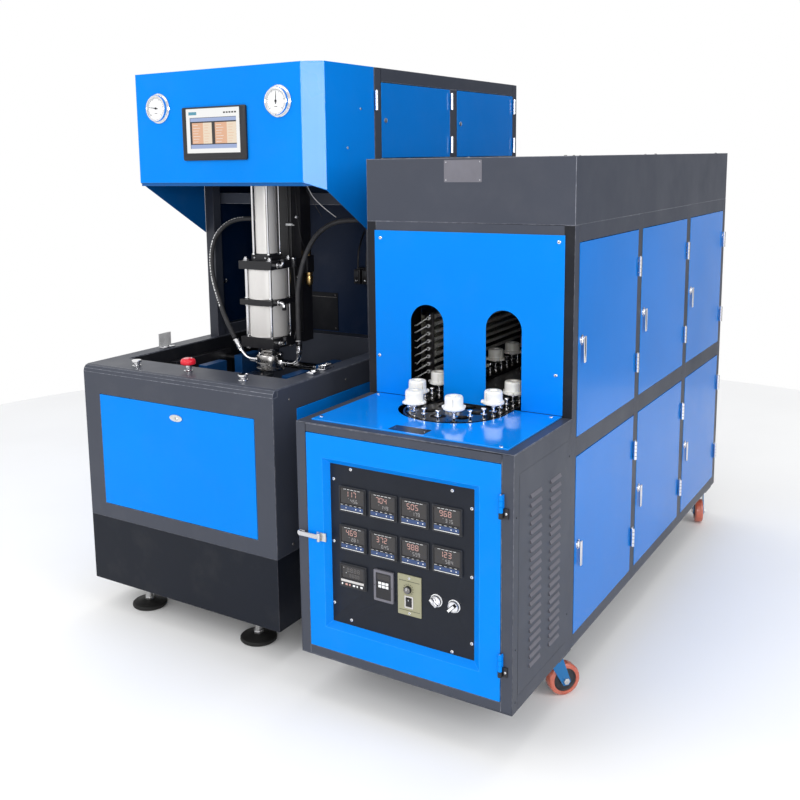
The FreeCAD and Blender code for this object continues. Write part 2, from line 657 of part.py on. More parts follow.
def pan_door(label, xo, y0, y1, z0, z1, lock=None):
    """A folded door in the right side: face 1 mm proud, edges turned in."""
    o = box("(%s) - 16" % xo, "(%s) + 1" % xo, "(%s) + 2" % y0, "(%s) - 2" % y1, "(%s) + 2" % z0, "(%s) - 2" % z1)
    i = box("(%s) - 20" % xo, "(%s) - 2" % xo, "(%s) + 5" % y0, "(%s) - 5" % y1, "(%s) + 5" % z0, "(%s) - 5" % z1)
    tools = [i]
    if lock:
        tools.append(cyl("x", "(%s) - 30" % xo, "(%s) + 5" % xo, lock[0], lock[1], 6.5))
    return cut(o, tools, label)


pan_door("tower_door_front", "tower_right", "748", "1236", "1497", "1745")
pan_door("tower_door_rear", "tower_right", "1291", "1796", "1497", "1745")

# ---------------------------------------------------------------------- heater
SY = [("408", "912"), ("954", "1468"), ("1515", "2001")]
SZ = [("168", "687"), ("740", "1271")]
hf = [box("-heater_w", "0", "0", "cab_rear", "under_z", "under_z + 3")]
UZ = "under_z + 3"
hf += [
    box("-heater_w", "31 - heater_w", "0", "30", UZ, "table_z - 3"),
    box("-31", "0", "0", "30", UZ, "table_z - 3"),
    box("31 - heater_w", "-31", "0", "30", UZ, "160"),
    box("31 - heater_w", "-31", "0", "30", "775", "table_z - 3"),
    box("-heater_w", "3 - heater_w", "30", "box_depth", UZ, "table_z - 3"),
]
slots = []
for c0, c1 in (("102", "166"), ("230", "294")):
    for k in range(20):
        z = 214 + 23.6 * k
        slots.append(box("-5", "2", c0, c1, "%.1f" % z, "%.1f" % (z + 7)))
hf.append(cut(box("-3", "0", "30", "box_depth", UZ, "table_z - 3"), slots))
hf.append(cut(box("-heater_w", "0", "0", "box_depth", "table_z - 3", "table_z"),
              [cyl("z", "790", "810", "track_x", "track_front", "hole_rad + 3"),
               box("track_x - 158", "track_x + 158", "track_front", "380", "790", "810")]))
# cabinet posts and rails
for y0, y1 in (("box_depth", "408"), ("912", "954"), ("1468", "1515"), ("2001", "cab_rear")):
    hf.append(box("-30", "0", y0, y1, UZ, "seam_z"))
for y0, y1 in (("box_depth", "408"), ("2001", "cab_rear")):
    hf.append(box("-heater_w", "30 - heater_w", y0, y1, UZ, "seam_z"))
for y0, y1 in SY:
    for z0, z1 in ((UZ, "168"), ("687", "740"), ("1271", "seam_z")):
        hf.append(box("-30", "0", y0, y1, z0, z1))
hf.append(box("30 - heater_w", "-30", "box_depth", "408", "1287", "seam_z"))
hf.append(box("30 - heater_w", "-30", "2010", "cab_rear", "1287", "seam_z"))
hf.append(box("-heater_w", "3 - heater_w", "408", "2001", UZ, "seam_z"))
hf.append(box("30 - heater_w", "-30", "cab_rear - 3", "cab_rear", UZ, "1287"))
hf.append(cut(box("30 - heater_w", "-30", "408", "2001", "765", "768"),
              [cyl("z", "750", "790", "track_x", "track_rear", 17)]))
for cx in ("-42", "-598"):
    for cy in ("355", "1950"):
        hf.append(box("(%s) - 42" % cx, "(%s) + 42" % cx, "(%s) - 42" % cy, "(%s) + 42" % cy, "under_z - 4", "under_z"))
group(hf, "heater_frame")

cut(box("-608", "-28", "28", "372", "table_z", "table_z + 4"),
    [cyl("z", "790", "810", "track_x", "track_front", "hole_rad"),
     box("track_x - 155", "track_x + 155", "track_front", "380", "790", "810")], "heater_table")

b = body("arch_cover", "-613", "372", "805")
AW = "586"
pad(b, sketch(b, "XZ_Plane", [[("0", "0"), (AW, "0"), (AW, "485"), ("0", "485")]]), "plate", True)
for cx in ("173", "413"):
    sk = sketch(b, "XZ_Plane", [[("%s - arch_rad" % cx, "-5"), ("%s + arch_rad" % cx, "-5"),
                                 ("%s + arch_rad" % cx, "arch_mid - 805"), ("%s - arch_rad" % cx, "arch_mid - 805")]])
    pocket_through(b, sk)
    sk = sketch(b, "XZ_Plane", [("circle", cx, "arch_mid - 805", "arch_rad")])
    pocket_through(b, sk)

cut(box("-heater_w", "0", "box_depth", "cab_rear", "seam_z", "cap_z"),
    [box("3 - heater_w", "-3", "box_depth + 3", "cab_rear - 3", "seam_z - 5", "cap_z - 3")], "heater_hood")


# oven chain: a closed band on its track, pins all round it, sprockets and drive
def stadium(r, z0, z1):
    x, y0, y1 = val("track_x"), val("track_front"), val("track_rear")
    o = at(0, 0, 0)
    s = Part.makeCylinder(r, z1 - z0, V(o.x + x, o.y + y0, z0))
    s = s.fuse(Part.makeCylinder(r, z1 - z0, V(o.x + x, o.y + y1, z0)))
    s = s.fuse(Part.makeBox(2 * r, y1 - y0, z1 - z0, V(o.x + x - r, o.y + y0, z0)))
    return s.removeSplitter()


def on_track(s):
    """The point at arc length s along the chain, from its front, to the right."""
    r = val("track_rad")
    L = val("track_rear") - val("track_front")
    q = math.pi * r
    total = 2 * L + 2 * q
    s = s % total
    x, y0, y1 = val("track_x"), val("track_front"), val("track_rear")
    if s < q / 2:
        a = s / r
        return x + r * math.sin(a), y0 - r * math.cos(a)
    s -= q / 2
    if s < L:
        return x + r, y0 + s
    s -= L
    if s < q:
        a = s / r
        return x + r * math.cos(a), y1 + r * math.sin(a)
    s -= q
    if s < L:
        return x - r, y1 - s
    s -= L
    a = s / r
    return x - r * math.cos(a), y0 - r * math.sin(a)


R = val("track_rad")
ring = stadium(R + 13, 789, 799).cut(stadium(R - 13, 780, 810))
track = stadium(R + 20, 784, 788)
o = at(0, 0, 0)
pitch_total = 2 * (val("track_rear") - val("track_front")) + 2 * math.pi * R
ncup = int(D["cup_count"])
step = pitch_total / (3 * ncup)
PHASE = 59.3
pins, cups = [], []
for k in range(3 * ncup):
    x, y = on_track(PHASE + k * step)
    x += o.x
    y += o.y
    if k % 3:
        s = Part.makeCylinder(3.5, 28, V(x, y, 799))
        s = s.fuse(Part.makeCylinder(9, 3, V(x, y, 812)))
        s = s.fuse(Part.makeCylinder(7.5, 4, V(x, y, 826)))
        pins.append(s.removeSplitter())
    else:
        s = Part.makeCylinder(4, 29, V(x, y, 799))
        s = s.fuse(Part.makeCylinder(11, 3, V(x, y, 811)))
        pins.append(s.removeSplitter())
        w = Part.makePolygon([V(x, y, 828), V(x + 10, y, 828), V(x + 14, y, 834), V(x + 28, y, 834), V(x + 29, y, 836),
                              V(x + 28, y, 841), V(x + 24, y, 843), V(x + 23, y, 868), V(x + 20, y, 871), V(x, y, 871), V(x, y, 828)])
        cups.append(Part.Face(w).revolve(V(x, y, 0), V(0, 0, 1), 360))
tx, ty0, ty1 = o.x + val("track_x"), o.y + val("track_front"), o.y + val("track_rear")
spro = []
for yy, low in ((ty0, 665), (ty1, 640)):
    spro.append(Part.makeCylinder(R - 16, 6, V(tx, yy, 789)))
    spro.append(Part.makeCylinder(15, 789 - low, V(tx, yy, low)))
track = track.cut(Part.makeCylinder(16, 20, V(tx, ty0, 780))).cut(Part.makeCylinder(16, 20, V(tx, ty1, 780)))
blocks = [Part.makeBox(60, 60, 16, V(tx - 30, o.y + yy, 768)) for yy in (520, 1000, 1500)]
front_bearing = Part.makeBox(120, 60, 25, V(tx - 60, ty0 - 30, 640))
bar = Part.makeBox(578, 40, 30, V(o.x - 609, ty0 - 20, 610))
motor = [Part.makeBox(130, 130, 120, V(tx - 65, ty1 - 65, 520)), Part.makeCylinder(60, 150, V(tx, ty1, 370)),
         Part.makeBox(160, 160, 8, V(tx - 80, ty1 - 80, 640)).cut(Part.makeCylinder(16, 20, V(tx, ty1, 635)))]
# the gearbox hangs from the inner deck on four posts
for sx in (-70, 70):
    for sy in (-70, 70):
        motor.append(Part.makeCylinder(7, 117, V(tx + sx, ty1 + sy, 648)))
chain = ring.fuse(pins).removeSplitter()
feature(Part.Compound(chain.Solids + [track] + spro + blocks + [front_bearing, bar] + motor), "preform_chain")
feature(Part.Compound(cups), "preform_cups")

# infrared lamps in two banks, ends in holders, with sheet reflectors
lamps = []
for xa in ("-560", "-96"):
    for k in range(8):
        lamps.append(cyl("y", "612", "1700", xa, "%.1f" % (829 + 24.3 * k), 6))
    lamps.append(box("(%s) - 14" % xa, "(%s) + 14" % xa, "604", "612", "815", "1015"))
    lamps.append(box("(%s) - 14" % xa, "(%s) + 14" % xa, "1700", "1708", "815", "1015"))
    lamps.append(box("(%s) - 14" % xa, "(%s) + 14" % xa, "604", "612", "768", "815"))
    lamps.append(box("(%s) - 14" % xa, "(%s) + 14" % xa, "1700", "1708", "768", "815"))
lamps.append(box("-590", "-587", "600", "1710", "768", "1040"))
lamps.append(box("-69", "-66", "600", "1710", "768", "1040"))
group(lamps, "lamp_bank")

# front door of the control box: deep pan with a bevelled window
wd = doc.addObject("Part::Wedge", nm("window"))
for k, v in (("Xmin", -556), ("Xmax", -88), ("Zmin", 226), ("Zmax", 710), ("Ymin", -3), ("Ymax", 17),
             ("X2min", -540), ("X2max", -113), ("Z2min", 243), ("Z2max", 691)):
    setattr(wd, k, v)
place(wd, "0", "0", "0")
door_slab = cut(box("-607", "-33", "-2", "16", "162", "773"), [wd])
group([door_slab, box("-576", "-546", "-5.6", "-2", "474", "498")], "control_door")

METERS = []
for z0 in (564, 456):
    for x0, x1 in ((-512, -427), (-417, -332), (-323, -238), (-228, -143)):
        METERS.append((x0, x1, z0, z0 + 72))
METERS += [(-514, -429, 351, 419), (-404, -344, 338, 424)]
ip = [box("-562", "-90", "16", "19", "222", "714")]
holes = []
for x0, x1, z0, z1 in METERS:
    ip.append(box(x0, x1, "8", "16", z0, z1))
    ip.append(box(x0 + 5, x1 - 5, "19", "84", z0 + 5, z1 - 5))
ip.append(cut(box("-332", "-262", "13", "16", "317", "428"),
              [cyl("y", "10", "20", "-300", "389", 4.5), box("-307.5", "-289.5", "10", "20", "341", "367")]))
plate_holes = [cyl("y", "10", "30", "-300", "389", 4.5), box("-307.5", "-289.5", "10", "30", "341", "367"),
               cyl("y", "10", "30", "-219", "377", 11.5), cyl("y", "10", "30", "-168", "374", 11.5)]
ip[0] = cut(ip[0], plate_holes)
ip.append(box("-325", "-272", "24", "70", "375", "425"))
group(ip, "instrument_panel")

fuse([cyl("y", "2", "12.7", "-300", "389", 10), cyl("y", "12.7", "22", "-300", "389", 4),
      box("-301", "-299", "0.5", "2", "389", "397")], "speed_knob")
b = body("rocker_switch", "-306.7", "0", "341.8")
pad(b, sketch(b, "YZ_Plane", [[("9", "2"), ("11.5", "12"), ("9", "22.5"), ("16", "24.2"), ("26", "20"), ("26", "5"), ("16", "0.4")]]), "16.4")
for label, sx, sz, tilt in (("selector_left", "-219", "377", 48.0), ("selector_right", "-168", "374", -45.0)):
    # the bar stands at the position the switch was left in, tilt to the left of upright
    ca, sa = math.cos(math.radians(tilt)), math.sin(math.radians(tilt))
    b = body(None, sx, "7", sz)
    pad(b, sketch(b, "XZ_Plane", [[("%.4f" % (u * ca - v * sa), "%.4f" % (u * sa + v * ca))
                                   for u, v in ((-5, -13), (5, -13), (5, 13), (-5, 13))]]), "11")
    fuse([cyl("y", "7", "15.7", sx, sz, 15), cyl("y", "15.7", "40", sx, sz, 11), b], label)

# draw latch of the control door
fuse([cyl("z", "474", "498", "-566", "-11", 5),
      box("-630", "-566", "-13", "-9", "479", "493"),
      box("-633", "-626", "-13", "-5", "479", "493")], "door_latch")

# six side doors, each with its quarter-turn lever
row = ("lower", "upper")
col = ("front", "middle", "rear")
for j, (z0, z1) in enumerate(SZ):
    for i, (y0, y1) in enumerate(SY):
        ly, lz = "%s + 27" % y0, "((%s) + (%s)) / 2" % (z0, z1)
        pan_door("side_door_%s_%s" % (row[j], col[i]), "0", y0, y1, z0, z1, (ly, lz))
        fuse([cyl("x", "-16", "5", ly, lz, 6),
              cyl("x", "1.4", "8", ly, lz, 11),
              box("5", "13", "(%s) - 7" % ly, "(%s) + 7" % ly, "(%s) - 62" % lz, "(%s) + 12" % lz)],
             "side_latch_%s_%s" % (row[j], col[i]))


# hinges, catches and the latch keeper
def hinge_z(x, y, z0, z1, leaf):
    return fuse([cyl("z", z0, z1, x, y, 6), box(*(leaf + (z0, z1)))])


hw = []
for j, (z0, z1) in enumerate(SZ):
    for i, (y0, y1) in enumerate(SY):
        for a in ("(%s) + 85" % z0, "(%s) - 145" % z1):
            hw.append(hinge_z("8", y1, a, "(%s) + 60" % a, ("0", "4", y1, "(%s) + 20" % y1)))
for y1 in ("1236", "1796"):
    for a in ("1512", "1670"):
        hw.append(hinge_z("tower_right + 8", y1, a, "(%s) + 60" % a, ("tower_right", "tower_right + 4", y1, "(%s) + 20" % y1)))
for a in ("1652", "1330"):
    hw.append(hinge_z("tower_right + 8", "tower_front", a, "(%s) + 64" % a,
                      ("tower_right", "tower_right + 4", "tower_front", "tower_front + 20")))
for a in ("232", "640"):
    hw.append(fuse([cyl("z", a, "(%s) + 60" % a, "-30", "-8", 5.5), box("-30", "-12", "-4", "0", a, "(%s) + 60" % a)]))
hw.append(box("-636", "-618", "-3.5", "0", "479", "493"))
# deck: latch plate on the left rim, toggle catches on the right rim
hw.append(box("base_left + 26", "base_left + 30", "425", "485", "deck_z", "deck_z + 52"))
hw.append(box("base_left + 30", "base_left + 52", "425", "485", "deck_z", "deck_z + 4"))
hw.append(box("base_right - 52", "base_right - 24", "395", "455", "deck_z", "deck_z + 6"))
hw.append(cyl("y", "400", "450", "base_right - 38", "deck_z + 11", 5))
hw.append(box("base_right - 40", "base_right - 14", "322", "362", "deck_z", "deck_z + 14"))
group(hw, "hinges_and_catches")

# casters: pressed fork with its axle, and a wheel; each fork is turned to the
# angle it was left at
CAST = [("front_right", "-42", "355", 40.0), ("rear_right", "-42", "1950", 160.0),
        ("front_left", "-598", "355", 12.0), ("rear_left", "-598", "1950", -20.0)]
for label, cx, cy, ang in CAST:
    legs = []
    for x0 in ("-21", "17.5"):
        leg = extrude("yz", [("-20", "119"), ("26", "119"), ("trail + 15", "wheel_rad - 4"), ("trail + 8", "wheel_rad - 14"),
                             ("trail - 8", "wheel_rad - 14"), ("trail - 15", "wheel_rad - 2")], "3.5")
        leg.setExpression("Placement.Base.x", ex(x0))
        legs.append(leg)
    crown = box("-21", "21", "-20", "26", "115", "119", False)
    neck = cyl("z", "119", "under_z - 4.4", "0", "0", 24, False)
    axle = cyl("x", "-23", "23", "trail", "wheel_rad", 6, False)
    fork = fuse(legs + [crown, neck, axle], "caster_fork_" + label)
    fork.Placement = FreeCAD.Placement(V(0, 0, 0), FreeCAD.Rotation(V(0, 0, 1), -ang))
    place(fork, cx, cy, "0")
    tyre = cut(cyl("x", "-wheel_w / 2", "wheel_w / 2", "trail", "wheel_rad", "wheel_rad", False),
               [cyl("x", "-20", "20", "trail", "wheel_rad", 6.3, False)])
    fil = doc.addObject("Part::Chamfer", nm("edge"))
    fil.Base = tyre
    doc.recompute()
    rim = [k + 1 for k, e in enumerate(tyre.Shape.Edges)
           if hasattr(e.Curve, "Radius") and abs(e.Curve.Radius - D["wheel_rad"]) < 0.1 and e.isClosed()]
    fil.Edges = [(k, 4.0, 4.0) for k in rim]
    tyre.Visibility = False
    wheel = group([fil], "caster_wheel_" + label)
    wheel.Placement = FreeCAD.Placement(V(0, 0, 0), FreeCAD.Rotation(V(0, 0, 1), -ang))
    place(wheel, cx, cy, "0")

# ---------------------------------------------------------------------- output
doc.recompute()
bad = []
for o_ in doc.Objects:
    if any(s in ("Invalid", "Error") for s in o_.State):
        bad.append("%s %s %s" % (o_.Name, o_.Label, o_.State))
labels = set()
for o_ in EXPORT:
    if o_.Label in labels:
        bad.append("label twice: " + o_.Label)
    labels.add(o_.Label)
    sh = o_.Shape
    if sh.isNull() or not sh.isValid() or not sh.Solids:
        bad.append("shape: " + o_.Label)
if len(EXPORT) > 60:
    bad.append("too many sub-parts: %d" % len(EXPORT))
if bad:
    for line in bad:
        print("BAD", line)
    raise SystemExit("the model has faults")
os.makedirs("parts", exist_ok=True)
lo, hi = [1e9] * 3, [-1e9] * 3
for o_ in EXPORT:
    sh = o_.Shape
    bb = sh.BoundBox
    print("%-28s %3d solids  vol %10.0f  [%7.1f %7.1f %7.1f] [%7.1f %7.1f %7.1f]" % (
        o_.Label, len(sh.Solids), sh.Volume, bb.XMin, bb.YMin, bb.ZMin, bb.XMax, bb.YMax, bb.ZMax))
    if not o_.Label.startswith("hose"):
        lo = [min(a, c) for a, c in zip(lo, (bb.XMin, bb.YMin, bb.ZMin))]
        hi = [max(a, c) for a, c in zip(hi, (bb.XMax, bb.YMax, bb.ZMax))]
    sh.exportStep("parts/%s.step" % o_.Label)
print("sub-parts", len(EXPORT), "box", [round(a, 2) for a in lo], [round(a, 2) for a in hi],
      "centre", [round((a + c) / 2, 3) for a, c in zip(lo, hi)])
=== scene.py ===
"""Looks of the blow moulding machine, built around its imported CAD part.

All lengths below are in the machine's own millimetres (x from the heater's right
face, y from its front, z from the floor); P() turns them into the row frame.
"""
import json
import math

import bmesh
import bpy
import numpy as np
from mathutils import Matrix, Vector


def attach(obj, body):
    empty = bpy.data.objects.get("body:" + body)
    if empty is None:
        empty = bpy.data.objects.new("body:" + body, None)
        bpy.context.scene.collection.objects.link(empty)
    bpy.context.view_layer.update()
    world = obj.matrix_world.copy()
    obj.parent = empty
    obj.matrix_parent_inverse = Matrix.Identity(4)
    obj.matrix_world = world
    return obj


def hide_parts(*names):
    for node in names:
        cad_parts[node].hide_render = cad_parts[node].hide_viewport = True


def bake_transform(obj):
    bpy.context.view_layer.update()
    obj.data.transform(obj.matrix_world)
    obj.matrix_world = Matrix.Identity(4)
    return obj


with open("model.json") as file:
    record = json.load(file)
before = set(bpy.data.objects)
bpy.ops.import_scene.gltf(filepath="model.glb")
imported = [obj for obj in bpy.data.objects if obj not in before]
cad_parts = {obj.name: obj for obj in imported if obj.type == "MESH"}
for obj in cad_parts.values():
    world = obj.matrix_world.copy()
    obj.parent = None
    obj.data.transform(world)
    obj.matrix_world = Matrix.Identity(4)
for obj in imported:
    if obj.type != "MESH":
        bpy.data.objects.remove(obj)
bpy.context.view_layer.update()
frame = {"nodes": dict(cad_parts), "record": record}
NODES = frame["nodes"]
BODY = {}
for body_name, members in frame["record"]["behaviour"]["bodies"].items():
    for member in members:
        BODY[member] = body_name
SLOT = {s["node"]: s["material_slot"] for s in frame["record"]["subparts"]}
OX, OY = 782.84, -1012.0
COLL = bpy.context.scene.collection


def P(x, y, z):
    return Vector(((x + OX) / 1000, (y + OY) / 1000, z / 1000))


# ------------------------------------------------------------------ mesh kit
AXES = {"x": (Vector((1, 0, 0)), Vector((0, 1, 0)), Vector((0, 0, 1))),
        "y": (Vector((0, 1, 0)), Vector((0, 0, 1)), Vector((1, 0, 0))),
        "z": (Vector((0, 0, 1)), Vector((1, 0, 0)), Vector((0, 1, 0)))}


def frame_of(axis):
    if isinstance(axis, str):
        if axis[0] == "-":
            a, u, v = AXES[axis[1]]
            return -a, v, u
        return AXES[axis]
    a = Vector(axis).normalized()
    u = a.orthogonal().normalized()
    return a, u, a.cross(u)


class Mesh:
    """Collects shapes in machine millimetres, then makes one piece of them."""

    def __init__(self):
        self.bm = bmesh.new()
        # mask of bevel faces, which paint() lightens as painted highlight on folds
        self.bm.loops.layers.float.new("wear_and_fold_highlight")

    def _absorb(self, tmp, mat, xf=None):
        if xf is not None:
            bmesh.ops.transform(tmp, matrix=xf, verts=tmp.verts)
        me = bpy.data.meshes.new("tmp")
        for f in tmp.faces:
            f.material_index = mat
        tmp.to_mesh(me)
        tmp.free()
        self.bm.from_mesh(me)
        bpy.data.meshes.remove(me)
        return self

    def box(self, lo, hi, bevel=0.0, mat=0, segs=2, xf=None):
        tmp = bmesh.new()
        bmesh.ops.create_cube(tmp, size=1.0)
        lo, hi = Vector(map(min, lo, hi)), Vector(map(max, lo, hi))
        for v in tmp.verts:
            v.co = Vector(lo[i] + (v.co[i] + 0.5) * (hi[i] - lo[i]) for i in range(3))
        if bevel:
            bmesh.ops.bevel(tmp, geom=list(tmp.edges), offset=min(bevel, 0.45 * min(hi[i] - lo[i] for i in range(3))),
                            segments=segs, profile=0.5, affect="EDGES", clamp_overlap=True)
        return self._absorb(tmp, mat, xf)

    def lathe(self, at, axis, profile, segs=32, mat=0, sweep=None):
        """profile: (radius, along) pairs from the start of the axis; radius 0 closes."""
        a, u, v = frame_of(axis)
        o = Vector(at)
        tmp = bmesh.new()
        rings = []
        for r, h in profile:
            if r < 1e-6:
                rings.append([tmp.verts.new(o + a * h)])
            else:
                rings.append([tmp.verts.new(o + a * h + (u * math.cos(t) + v * math.sin(t)) * r)
                              for t in (2 * math.pi * k / segs for k in range(segs))])
        for A, B in zip(rings, rings[1:]):
            if len(A) == 1 and len(B) == 1:
                continue
            for k in range(segs):
                n = (k + 1) % segs
                if len(A) == 1:
                    tmp.faces.new((A[0], B[n], B[k]))
                elif len(B) == 1:
                    tmp.faces.new((A[k], A[n], B[0]))
                else:
                    tmp.faces.new((A[k], A[n], B[n], B[k]))
        for ring in (rings[0], rings[-1]):
            if len(ring) > 1 and profile[0] != profile[-1]:
                tmp.faces.new(ring)
        if profile[0] == profile[-1] and len(rings[0]) > 1:
            bmesh.ops.remove_doubles(tmp, verts=tmp.verts, dist=1e-5)
        bmesh.ops.recalc_face_normals(tmp, faces=tmp.faces)
        return self._absorb(tmp, mat)

    def cyl(self, at, axis, r, h, bevel=0.6, segs=32, mat=0):
        b = min(bevel, 0.45 * h, 0.45 * r)
        return self.lathe(at, axis, [(0, 0), (r - b, 0), (r - 0.3 * b, 0.3 * b), (r, b), (r, h - b),
                                     (r - 0.3 * b, h - 0.3 * b), (r - b, h), (0, h)], segs, mat)

    def prism(self, at, axis, pts, h, bevel=0.0, mat=0, up=None, segs=2):
        """A closed outline (u, v) pushed h along the axis. up fixes v's direction."""
        a, u, v = frame_of(axis)
        if up is not None:
            v = Vector(up).normalized()
            u = v.cross(a)
        o = Vector(at)
        tmp = bmesh.new()
        low = [tmp.verts.new(o + u * p + v * q) for p, q in pts]
        top = [tmp.verts.new(o + u * p + v * q + a * h) for p, q in pts]
        tmp.faces.new(low)
        tmp.faces.new(top)
        n = len(pts)
        for k in range(n):
            tmp.faces.new((low[k], low[(k + 1) % n], top[(k + 1) % n], top[k]))
        bmesh.ops.recalc_face_normals(tmp, faces=tmp.faces)
        if bevel:
            edges = [e for e in tmp.edges if e.calc_face_angle(0) > 0.5]
            bmesh.ops.bevel(tmp, geom=edges, offset=bevel, segments=segs, profile=0.5, affect="EDGES", clamp_overlap=True)
        return self._absorb(tmp, mat)

    def hexa(self, at, axis, r, h, mat=0, turn=0.0):
        pts = [(r * math.cos(turn + math.pi * k / 3), r * math.sin(turn + math.pi * k / 3)) for k in range(6)]
        return self.prism(at, axis, pts, h, min(0.7, 0.2 * h), mat)

    def tube(self, pts, r, segs=12, mat=0, caps=True, radii=None):
        pts = [Vector(p) for p in pts]
        n = len(pts)
        tmp = bmesh.new()
        rings, up = [], None
        for i, p in enumerate(pts):
            t = (pts[min(i + 1, n - 1)] - pts[max(i - 1, 0)]).normalized()
            if up is None:
                up = t.orthogonal().normalized()
            up = (up - t * up.dot(t)).normalized()
            w = t.cross(up)
            rr = radii[i] if radii else r
            rings.append([tmp.verts.new(p + (up * math.cos(a) + w * math.sin(a)) * rr)
                          for a in (2 * math.pi * k / segs for k in range(segs))])
        for A, B in zip(rings, rings[1:]):
            for k in range(segs):
                tmp.faces.new((A[k], A[(k + 1) % segs], B[(k + 1) % segs], B[k]))
        if caps:
            tmp.faces.new(rings[0])
            tmp.faces.new(rings[-1])
        bmesh.ops.recalc_face_normals(tmp, faces=tmp.faces)
        return self._absorb(tmp, mat)

    def flat(self, at, axis, outline, holes=(), h=1.0, bevel=0.0, mat=0, up=(0, 0, 1)):
        """A sheet with holes: outline and holes are lists of (u, v), h along the axis."""
        a = frame_of(axis)[0]
        v = Vector(up).normalized()
        u = v.cross(a)
        o = Vector(at)
        cu = bpy.data.curves.new("tmp", "CURVE")
        cu.dimensions = "2D"
        cu.fill_mode = "BOTH"
        cu.extrude = h / 2 - bevel
        cu.bevel_depth = bevel
        cu.bevel_resolution = 1
        cu.offset = -bevel
        for loop in [outline] + list(holes):
            s = cu.splines.new("POLY")
            s.points.add(len(loop) - 1)
            for k, (p, q) in enumerate(loop):
                s.points[k].co = (p, q, 0, 1)
            s.use_cyclic_u = True
        ob = bpy.data.objects.new("tmp", cu)
        me = bpy.data.meshes.new_from_object(ob)
        xf = Matrix.Translation(o + a * h / 2) @ Matrix(((u.x, v.x, a.x, 0), (u.y, v.y, a.y, 0), (u.z, v.z, a.z, 0), (0, 0, 0, 1)))
        me.transform(xf)
        tmp = bmesh.new()
        tmp.from_mesh(me)
        bmesh.ops.remove_doubles(tmp, verts=tmp.verts, dist=1e-4)
        bmesh.ops.recalc_face_normals(tmp, faces=tmp.faces)
        bpy.data.objects.remove(ob)
        bpy.data.curves.remove(cu)
        bpy.data.meshes.remove(me)
        return self._absorb(tmp, mat)

    def quad(self, at, axis, u0, u1, v0, v1, mat=0, lift=0.05, up=(0, 0, 1)):
        """A thin printed patch, 0.15 mm thick, on a face that looks along the axis."""
        return self.flat(at, axis, [(u0, v0), (u1, v0), (u1, v1), (u0, v1)], h=lift + 0.15, mat=mat, up=up)

    def make(self, name, mats, body, rep=(), angle=32):
        return finish_mesh(name, self.bm, mats, body, rep, angle, True)


def finish_mesh(name, bm, mats, body, rep=(), angle=32, to_row=False):
    lim = math.radians(angle)
    for f in bm.faces:
        f.smooth = True
    for e in bm.edges:
        e.smooth = not (len(e.link_faces) == 2 and e.calc_face_angle(0) > lim)
    # a flat sheet between rounded edges keeps its own normal
    wl = bm.loops.layers.float.get("wear_and_fold_highlight")
    if wl is not None:
        for f in bm.faces:
            if f.loops[0][wl] < 0.5:
                near = [q for e in f.edges for q in e.link_faces if q is not f and q.loops[0][wl] < 0.5 and f.normal.angle(q.normal, 0) < lim]
                if not any(f.normal.angle(q.normal, 0) > 0.004 for q in near):
                    f.smooth = False
    if to_row:
        for v in bm.verts:
            v.co = P(*v.co)
    me = bpy.data.meshes.new(name)
    bm.to_mesh(me)
    bm.free()
    for m in (mats if isinstance(mats, (list, tuple)) else [mats]):
        me.materials.append(m)
    o = bpy.data.objects.new(name, me)
    COLL.objects.link(o)
    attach(o, body)
    if rep:
        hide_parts(*([rep] if isinstance(rep, str) else rep))
    return o


def refine(node, mats, width=1.0, segs=2, angle=28, pick=None, keep=None, name=None, add=None):
    """The CAD node again with its edges rounded, as folded sheet or machined metal has.
    pick(centre, normal) gives a face's material; keep(centre of a solid) leaves solids out.
    add is a Mesh joined to it."""
    bm = bmesh.new()
    bm.from_mesh(NODES[node].data)
    bm.faces.ensure_lookup_table()
    bmesh.ops.remove_doubles(bm, verts=bm.verts, dist=2e-6)
    bmesh.ops.dissolve_limit(bm, angle_limit=math.radians(0.7), verts=bm.verts, edges=bm.edges)
    wear_and_fold_highlight = bm.loops.layers.float.new("wear_and_fold_highlight")
    seen, islands = set(), []
    for v in bm.verts:
        if v in seen:
            continue
        stack, isl = [v], []
        seen.add(v)
        while stack:
            w = stack.pop()
            isl.append(w)
            for e in w.link_edges:
                q = e.other_vert(w)
                if q not in seen:
                    seen.add(q)
                    stack.append(q)
        islands.append(isl)
    drop, work = [], []
    for isl in islands:
        c = sum((v.co for v in isl), Vector()) / len(isl)
        if keep and not keep(Vector((c.x * 1000 - OX, c.y * 1000 - OY, c.z * 1000)), isl):
            drop += isl
        else:
            work.append(isl)
    if drop:
        bmesh.ops.delete(bm, geom=drop, context="VERTS")
    if width:
        lo_b = [min(v.co[i] for v in bm.verts) for i in range(3)]
        hi_b = [max(v.co[i] for v in bm.verts) for i in range(3)]
        for isl in work:
            size = max(max(v.co[i] for v in isl) - min(v.co[i] for v in isl) for i in range(3))
            edges = set()
            for v in isl:
                for e in v.link_edges:
                    if len(e.link_faces) == 2 and e.calc_face_angle(0) > math.radians(angle):
                        edges.add(e)
            if edges:
                r = bmesh.ops.bevel(bm, geom=sorted(edges, key=lambda e: e.index), offset=min(width / 1000, size / 12),
                                    segments=segs, profile=0.5, affect="EDGES", clamp_overlap=True)
                # mark the bevel faces for the painted highlight along folds
                for f in r["faces"]:
                    for lp in f.loops:
                        lp[wear_and_fold_highlight] = 1.0
        for v in bm.verts:
            for i in range(3):
                v.co[i] = min(max(v.co[i], lo_b[i]), hi_b[i])
    bm.faces.ensure_lookup_table()
    if pick:
        for f in bm.faces:
            c = f.calc_center_median()
            f.material_index = pick(Vector((c.x * 1000 - OX, c.y * 1000 - OY, c.z * 1000)), f.normal)
    if add is not None:
        for v in add.bm.verts:
            v.co = P(*v.co)
        me = bpy.data.meshes.new("tmp")
        add.bm.to_mesh(me)
        add.bm.free()
        bm.from_mesh(me)
        bpy.data.meshes.remove(me)
    return finish_mesh(name or "look_" + node, bm, mats, BODY[node], node)


